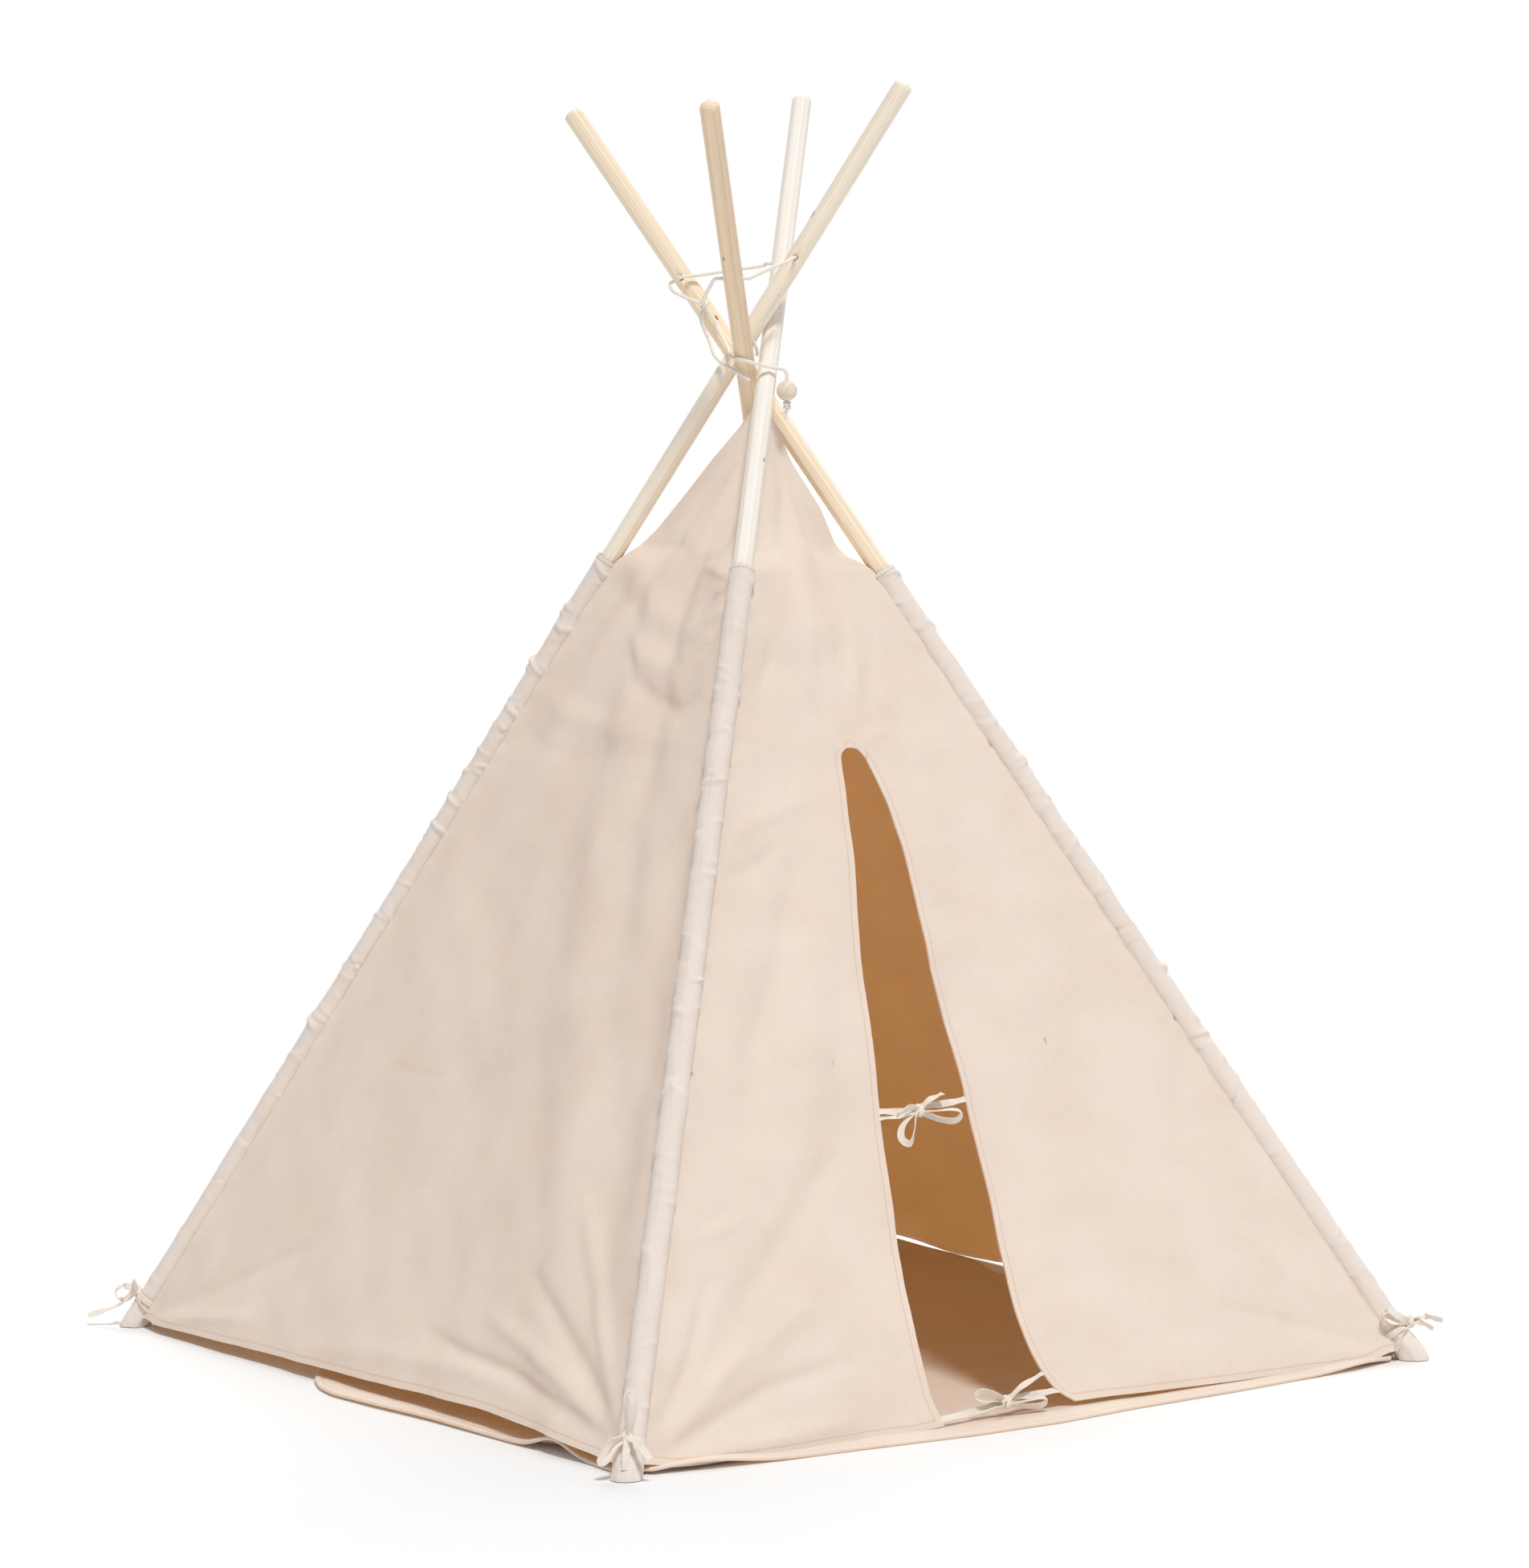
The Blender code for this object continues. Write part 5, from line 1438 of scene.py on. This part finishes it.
    def door_tie(self, name: str, place: float, aside: float, routes: dict, strands: int) -> None:
        """A bow across the slit, with the straps that hold it.

        Args:
            name: the tie's name.
            place: its place up the sleeves.
            aside: the knot's distance from the middle.
            routes: the bow's routes.
            strands: how many left straps show.
        """
        door = self.door
        centre = door.middle(place) + door.along * aside
        pieces = self.bow(name + "_bow", routes, centre, door.along, door.slope, door.out, self.tilt)
        for strand in range(strands):
            low = (self.width + self.thick) * (strand - (strands - 1) / 2)
            pieces.append(self.strap("strand", self.tape_end(Side.LEFT, place - low), centre, 20 * strand + 8, 0.3))
        self.join(pieces, name + "_bow_of_tape", name + "_bow", "left_flap")
        far = self.tape_end(Side.RIGHT, place + self.width)
        start = centre + door.slope * self.width / 2
        near = start + unit(far - start) * (self.knot_size[0] * 0.7)
        self.join([self.strap("strap", near, far, 14, 0.35)], name + "_strap_of_tape", name + "_strap", "right_flap")

    def build(self) -> None:
        """Makes the two door ties and the four foot ties."""
        self.door_tie("door", 0.415, -0.055, self.door_bow, 2)
        self.door_tie("threshold", 0.030, -0.042, self.threshold_bow, 1)
        w = np.array([-0.5, -0.3, 0.3, 0.5, 0.5, 0.3, -0.3, -0.5]) * self.width
        t = np.array([0.3, 0.5, 0.5, 0.3, -0.3, -0.5, -0.5, -0.3]) * self.thick
        for pole in POLES.values():
            place, name = pole.at(self.foot_tie_place), "foot_tie_of_" + pole.corner
            angle = np.linspace(-self.wrap, self.wrap, 50)
            ring = pole.rings(np.full(1, self.foot_tie_place), np.full((1, 50), self.foot_radius), angle)[0]
            band = self.tape(name + "_band", ring, pole.line[None], unit(ring - place), w, t)
            centre = place + pole.outer_side * (self.foot_radius + self.knot_size[2])
            bow = self.bow(name, self.foot_bows[pole.corner], centre, pole.sideways, UP, pole.outward, self.foot_tilt)
            self.join([band, *bow], name, "foot_tie_" + pole.corner, "leg_" + pole.corner)


# The lashing


@dataclass
class Lashing:
    """One twisted cord: a ring through the four drilled holes, wraps round the crossing, and the bead."""

    finish: Material
    wood: Pine
    poles: Poles
    diameter: float = 0.0045
    pitch: float = 0.011
    bead: float = 0.0250
    bead_bore: float = 0.0062
    bead_rise: float = 0.0160
    step: float = 0.0010  # from section to section
    # Routes from the middle of the crossing, each place in tenths of a millimetre, and the poles it goes through
    ring: tuple = ((-290, 570, 740, -400, 440, 800, -660, -60, 930, -810, -400, 1040), "back_right",
                   (-520, -800, 1080, -200, -730, 1180, 120, -640, 1270), "back_left",
                   (550, -240, 1310, 650, -20, 1290, 770, 120, 1265), "front_left",
                   (500, 480, 1220, 120, 600, 1170, -300, 710, 1110, -520, 760, 1090), "front_right",
                   (-260, 1120, 1070, -400, 1120, 1030, -490, 1020, 980, -530, 870, 910, -460, 720, 840,
                    -340, 610, 770))
    wrap: tuple = (-290, 570, 740, -210, 500, 580, -180, 440, 450, -250, 180, 280, -310, 20, 190, -380, -90, 145,
                   -420, -200, 115, -365, -325, 85, -220, -420, 40, -80, -455, 0, 40, -500, -20, 100, -550, -40,
                   120, -580, -90, 120, -580, -160, 120, -580, -320, 120, -580, -450)
    hitch: tuple = (-290, 570, 740, -340, 580, 580, -280, 560, 400, -250, 530, 310, -340, 300, 150, -380, 100, 60,
                    -370, -80, -10, -300, -240, -100, -235, -315, -170)
    tuck: tuple = (120, -445, 860, 20, -370, 640, -80, -260, 440, -120, -210, 340, -60, -215, 200, -50, -200, 130)
    tail: tuple = (120, -580, -468, 115, -575, -558, 100, -570, -638)
    second_tail: tuple = (120, -580, -468, 75, -585, -520, 45, -590, -575)
    # Which way the cord passes each hole
    senses: dict = fixed({"back_right": -1, "back_left": -1, "front_left": -1, "front_right": 1})

    def strand(self, name: str, path: Array, size: float = 1.0) -> Object:
        """A three-strand twisted cord: round, with three lobes that turn once for each pitch.

        Args:
            name: the object's name.
            path: the middle line.
            size: its diameter against the cord's.

        Returns:
            The object, which stands for the lashing cord.
        """
        path = evenly(path, self.step)
        side, other = carried_frame(path)
        angle = angles(24)
        lobe = np.abs(np.sin(1.5 * (angle[None] - 2 * math.pi * lengths_along(path)[:, None] / self.pitch)))
        radius = self.diameter / 2 * size * (0.84 + 0.18 * np.sqrt(lobe))
        spoke = np.cos(angle)[None, :, None] * side[:, None] + np.sin(angle)[None, :, None] * other[:, None]
        obj = add_tube(name, path[:, None] + radius[..., None] * spoke, self.finish,
                       {"strand": np.clip(lobe * 1.3, 0, 1).ravel()})
        stand_for(obj, "lashing_cord")
        return obj

    def build_ring(self) -> None:
        """The ring, cut at each hole and half way between, so that each part ends at one pole's hole."""
        reach = np.array([-0.85, -0.62, 0.0, 0.62, 0.85])[:, None] * self.poles.width
        points, holes, fine = [], [], 10
        for spots in self.ring:
            if isinstance(spots, str):
                pole = POLES[spots]
                holes.append(((len(points) + 2) * fine, spots))
                points.extend(pole.at(self.poles.hole_place()) + pole.sideways * self.senses[spots] * reach)
            else:
                points.extend(self.spots(spots))
        path = curve_through(np.array(points), fine)
        middles = [0] + [(a[0] + b[0]) // 2 for a, b in zip(holes, holes[1:])] + [len(path) - 1]
        for number, (hole, corner) in enumerate(holes):
            for part, (far, near) in enumerate(((middles[number], hole), (middles[number + 1], hole))):
                piece = path[min(far, near):max(far, near) + 1]
                obj = self.strand("lashing_ring_%d_%d" % (number + 1, part + 1), piece)
                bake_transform(obj)

    @staticmethod
    def spots(route: tuple) -> Array:
        """The points of a route."""
        return UP * CROSSING_HEIGHT + np.reshape(route, (-1, 3)) / 10000

    @staticmethod
    def knot_path(centre: Array, size: float, turn: float) -> Array:
        """The line of an overhand knot pulled tight (a trefoil), turned about the upright: x is sin t + 2 sin 2t,
        y is cos t - 2 cos 2t, and z is -1.5 sin 3t."""
        t = np.linspace(0.25, 2 * math.pi + 0.15, 120)
        shape = np.stack([np.sin(t) + 2 * np.sin(2 * t), np.cos(t) - 2 * np.cos(2 * t), -1.5 * np.sin(3 * t)], 1)
        c, s = math.cos(turn), math.sin(turn)
        return centre + shape @ np.array([[c, s, 0], [0, 0, 1], [s, -c, 0]]) * size

    def build(self) -> None:
        """Makes the ring, the wraps, the knots and the bead."""
        self.build_ring()
        bead_centre = self.spots(self.wrap)[-1] + UP * self.bead_rise
        end = bead_centre - UP * (self.bead / 2 + 0.0053)
        for name, path, size in (("wrap", curve_through(self.spots(self.wrap), 10), 1.0),
                                 ("hitch", curve_through(self.spots(self.hitch), 10), 1.0),
                                 ("tuck", curve_through(self.spots(self.tuck), 10), 1.0),
                                 ("knot", self.knot_path(self.spots(self.wrap)[0], 0.0020, 0.6), 0.95),
                                 ("end_knot", self.knot_path(end, 0.0015, 0.3), 0.9),
                                 ("tail", curve_through(self.spots(self.tail), 12), 0.9),
                                 ("second_tail", curve_through(self.spots(self.second_tail), 12), 0.9)):
            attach(self.strand("lashing_" + name, path, size), "crown")
        self.build_bead(bead_centre)

    def build_bead(self, centre: Array) -> None:
        """The turned bead: a ball bored through, whose bore's edges are eased.

        The profile is half a circle from bore to bore, closed by the bore's own line, and the ring
        of points turns about the upright.

        Args:
            centre: its middle.
        """
        limit, around = math.acos(self.bead_bore / self.bead), 56
        arc = np.linspace(-limit, limit, 33)
        x = np.concatenate([self.bead / 2 * np.cos(arc), np.full(6, self.bead_bore / 2 - 0.0004)])
        bore = np.linspace(1, -1, 6) * self.bead / 2 * (math.sin(limit) - 0.05)
        z = np.concatenate([self.bead / 2 * np.sin(arc), bore])
        turn = angles(around)
        rings = stacked(x[:, None] * np.cos(turn), x[:, None] * np.sin(turn), z[:, None]) + centre
        first = np.arange(around)
        last = len(rings) - around + first
        closing = np.stack([last, np.roll(last, -1), np.roll(first, -1), first], axis=1)
        finish = self.wood.build("_bead", Matrix(((0, 0, 1), (1, 0, 0), (0, 1, 0))), centre, [])
        obj = add_mesh("bead_of_lashing", rings, [grid_faces(len(x), around, wrap=True), closing], finish)
        stand_for(obj, "lashing_bead", "bead")


# The mat


@dataclass
class FloorMat:
    """The floor mat: a square of doubled canvas with a soft sewn edge, cut to clear each foot."""

    finish: Material
    thick: float = 0.0050
    cuff_reach: float = 0.0182
    middle: float = 0.5675  # how far in from the edge the rings close
    seam: float = 0.012
    floor_gap: float = 0.3 * MM
    under: int = 8  # how many rings the bottom has, inside which it is one face
    per_side: int = 110
    # How far each side of the edge lies outside the feet's line: share along the side, and mm
    reach: dict = fixed({
        "front_left": ((0, 0), (0.06, 16), (0.14, 24), (0.24, 31), (0.38, 46), (0.5, 48), (0.6, 36), (0.75, 29),
                       (0.86, 19), (0.94, 16), (1, 0)),
        "front_right": ((0, 0), (0.1, 12), (0.3, 6), (0.45, -40), (0.6, -66), (0.69, -56), (0.73, -38), (0.77, -22),
                        (0.82, -14), (0.875, -14), (1, 0)),
        "back_right": ((0, 0), (0.1, 14), (0.35, 22), (0.6, 16), (0.85, 12), (1, -30)),
        "back_left": ((0, -32), (0.02, -36), (0.06, -58), (0.2, -75), (0.3, -70), (0.347, -46), (0.37, -18), (0.4, 4),
                      (0.44, 22), (0.48, 30), (0.56, 24), (0.66, 12), (0.83, 2), (0.93, -8), (1, -6))})
    # Where the edge stands up in a wave: side, share along it, its length in shares, and mm
    waves: tuple = (("back_left", 0.885, 0.035, 15), ("front_left", 0.055, 0.06, 9), ("back_left", 0.60, 0.20, 3),
                    ("front_left", 0.95, 0.05, 6), ("front_right", 0.52, 0.10, 5))

    def outline(self) -> tuple[Array, Array]:
        """The mat's edge, one side after another from the front left, and how high it stands.

        Returns:
            The points round the mat on the floor, and a height for each.
        """
        order = [POLES[c] for c in self.reach]
        u = np.linspace(0, 1, self.per_side)
        points, heights = [], []
        for start, end in zip(order, order[1:] + order[:1]):
            side = unit(end.foot - start.foot)
            first, last = self.corner_cut(start), BASE_SIDE - self.corner_cut(end)
            bulge = eased(u, self.reach[start.corner], np.linspace(-0.1, 1.1, 480), 15, "same")
            points.append(start.foot + side * (first + (last - first) * u[:, None])
                          + np.cross(side, UP) * bulge[:, None])
            heights.append(sum(high * MM * np.exp(-((u - place) / long) ** 2)
                               for corner, place, long, high in self.waves if corner == start.corner) + 0 * u)
        return np.concatenate(points), np.concatenate(heights)

    def corner_cut(self, pole: PoleLine) -> float:
        """How far along a side the mat starts, to clear the foot."""
        slope = math.hypot(*pole.line[:2]) / pole.line[2]
        return math.sqrt(2) * (self.cuff_reach / pole.line[2] + self.thick * slope + self.floor_gap)

    def build(self) -> None:
        """Makes the mat: rings shrink from the outline to the middle, and the top is soft at the edge.

        The height of the top is the thickness times a quarter circle over the first few millimetres,
        less a groove at the seam, plus a gentle unevenness.
        """
        edge, stand = self.outline()
        inset = np.array([0.0, 0.6, 1.6, 3, 5, 8, 10.5, 12, 13.5, 16, 22, 28, 34, 40, 46]) * MM
        inset, under = np.concatenate([inset, np.linspace(0.054, 0.565, 60)]), self.under
        curve = np.sqrt(np.clip(1 - (1 - np.minimum(inset / 0.0022, 1)) ** 2, 0, 1))
        groove = 0.8 * MM * np.exp(-((inset - self.seam) / 0.0016) ** 2)
        flat = edge[None] * (1 - inset / self.middle)[:, None, None]
        x, y = flat[..., 0], flat[..., 1]
        uneven = 0.5 * MM * ripple(x, y, 0.16, 5) + 0.18 * MM * ripple(x, y, 0.05, 6) - 0.8 * MM
        high = (self.thick / 2 * (1 + curve) - groove)[:, None] + uneven * smooth((inset - self.seam) / 0.05)[:, None]
        lift = stand[None] * (1 - smooth((inset - 0.004) / 0.05))[:, None]
        top, low = flat.copy(), flat[:under].copy()
        top[..., 2] = np.clip(high, 0.0012, self.thick + 0.0004) + lift
        low[..., 2] = (self.thick / 2 * (1 - curve[:under]))[:, None] + self.floor_gap + lift[:under]
        grid = np.concatenate([low[::-1], top[1:]])
        rows, count = grid.shape[:2]
        points = np.concatenate([grid.reshape(-1, 3), [[0, 0, float(top[-1, :, 2].mean())]]])
        last = (rows - 1) * count + np.arange(count)
        fan = np.stack([last, np.roll(last, -1), np.full(count, rows * count)], axis=1)
        seam = np.concatenate([np.repeat([*inset[:under][::-1], *inset[1:]], count), [0.5]])
        x, y = points[:, 0], points[:, 1]
        obj = add_mesh("floor_mat_of_canvas", points,
                       [grid_faces(rows, count, wrap=True), np.arange(count)[::-1][None], fan], self.finish,
                       {"cloth": stacked(x, y, seam), "sewing": stacked(x + y, 1.0, 0.0)})
        stand_for(obj, "floor_mat", "mat")
        x, y = edge[:, 0], edge[:, 1]
        area = float(abs(shoelace(x, y)))
        float(np.ptp(x))
        float(np.ptp(y))


# The studio


@dataclass
class Studio:
    """A white paper sweep, soft light from the front and right, and the photograph's camera."""

    azimuth: float = -0.601122418
    elevation: float = 0.0867149767
    distance: float = 6.67584269
    focal: float = 6797.67422  # in pixels of the photograph
    roll: float = -0.00892986733
    aim: float = 0.690794893
    middle: tuple = (-11.7956092, 0.169204731)  # the picture's middle, off the optical axis
    image: tuple = (1904, 1952)
    sensor: float = 36.0
    floor_reach: float = 14.0
    # Each lamp's direction, how wide it looks in degrees, and its watts on a square metre
    lamps: dict = fixed({
        "key": ((-0.150, -0.462, 0.874), 11, 1.90), "kicker": ((0.42, 0.42, 0.80), 30, 1.15)})

    def build_camera(self) -> None:
        """The camera, on a ball about the aim point, turned by its roll."""
        ce = math.cos(self.elevation)
        back = np.array([math.sin(self.azimuth) * ce, -math.cos(self.azimuth) * ce, math.sin(self.elevation)])
        right = unit(np.cross(-back, UP))
        up = np.cross(right, -back)
        c, s = math.cos(self.roll), math.sin(self.roll)
        data = bpy.data.cameras.new("camera")
        data.sensor_fit = "HORIZONTAL"
        data.sensor_width = self.sensor
        data.lens = self.focal * self.sensor / self.image[0]
        data.shift_x = -self.middle[0] / self.image[0]
        data.shift_y = self.middle[1] / self.image[0]
        data.clip_end = 100
        camera = add_object("camera", data)
        camera.matrix_world = as_matrix(c * right + s * up, -s * right + c * up, back,
                                        UP * self.aim + back * self.distance)
        bpy.context.scene.camera = camera

    def build(self) -> None:
        """Makes the sweep, the far soft lamps that light it evenly, and the world."""
        corners = np.array([[-1, -1, 0], [1, -1, 0], [1, 1, 0], [-1, 1, 0]]) * self.floor_reach
        floor = add_mesh("floor", corners, [np.array([[0, 1, 2, 3]])], StudioWhite().build())
        for name, (toward, wide, power) in self.lamps.items():
            data = bpy.data.lights.new(name, "SUN")
            data.angle, data.energy = math.radians(wide), power
            back = unit(np.array(toward))
            side = unit(np.cross(UP, back))
            add_object(name, data).matrix_world = as_matrix(side, np.cross(back, side), back, toward)
        world = bpy.data.worlds.new("studio")
        world.use_nodes = True
        t = world.node_tree
        t.nodes.clear()
        # The sky is white where it is seen, and dimmer as a light
        strength = spread(t, seen_rays(t), 0.0, 1.0, 0.30, 1.0)
        sky = add_node(t, "Background", inputs={"Color": (1, 1, 1, 1), "Strength": strength})
        add_node(t, "OutputWorld", inputs={0: sky})
        bpy.context.scene.world = world
        bpy.context.scene.view_settings.view_transform = "Standard"


def main() -> None:
    """Builds every piece of the teepee and its studio."""
    logging.basicConfig(level=logging.INFO, format="%(name)s: %(message)s")
    studio = Studio()
    studio.build_camera()
    pine = Pine()
    poles = Poles(pine)
    Lashing(Cord().build(), pine, poles).build()
    poles.build()
    canvas = Canvas().build()
    Sleeves(Canvas("cotton_duck_doubled", "#F0E4DB", "#ECDED3", through=None).build()).build()
    cover = Cover(canvas)
    cover.build()
    door = DoorWall(cover)
    door.build()
    Ties(Tape().build(), door).build()
    FloorMat(canvas).build()
    studio.build()


if __name__ == "__main__":
    main()
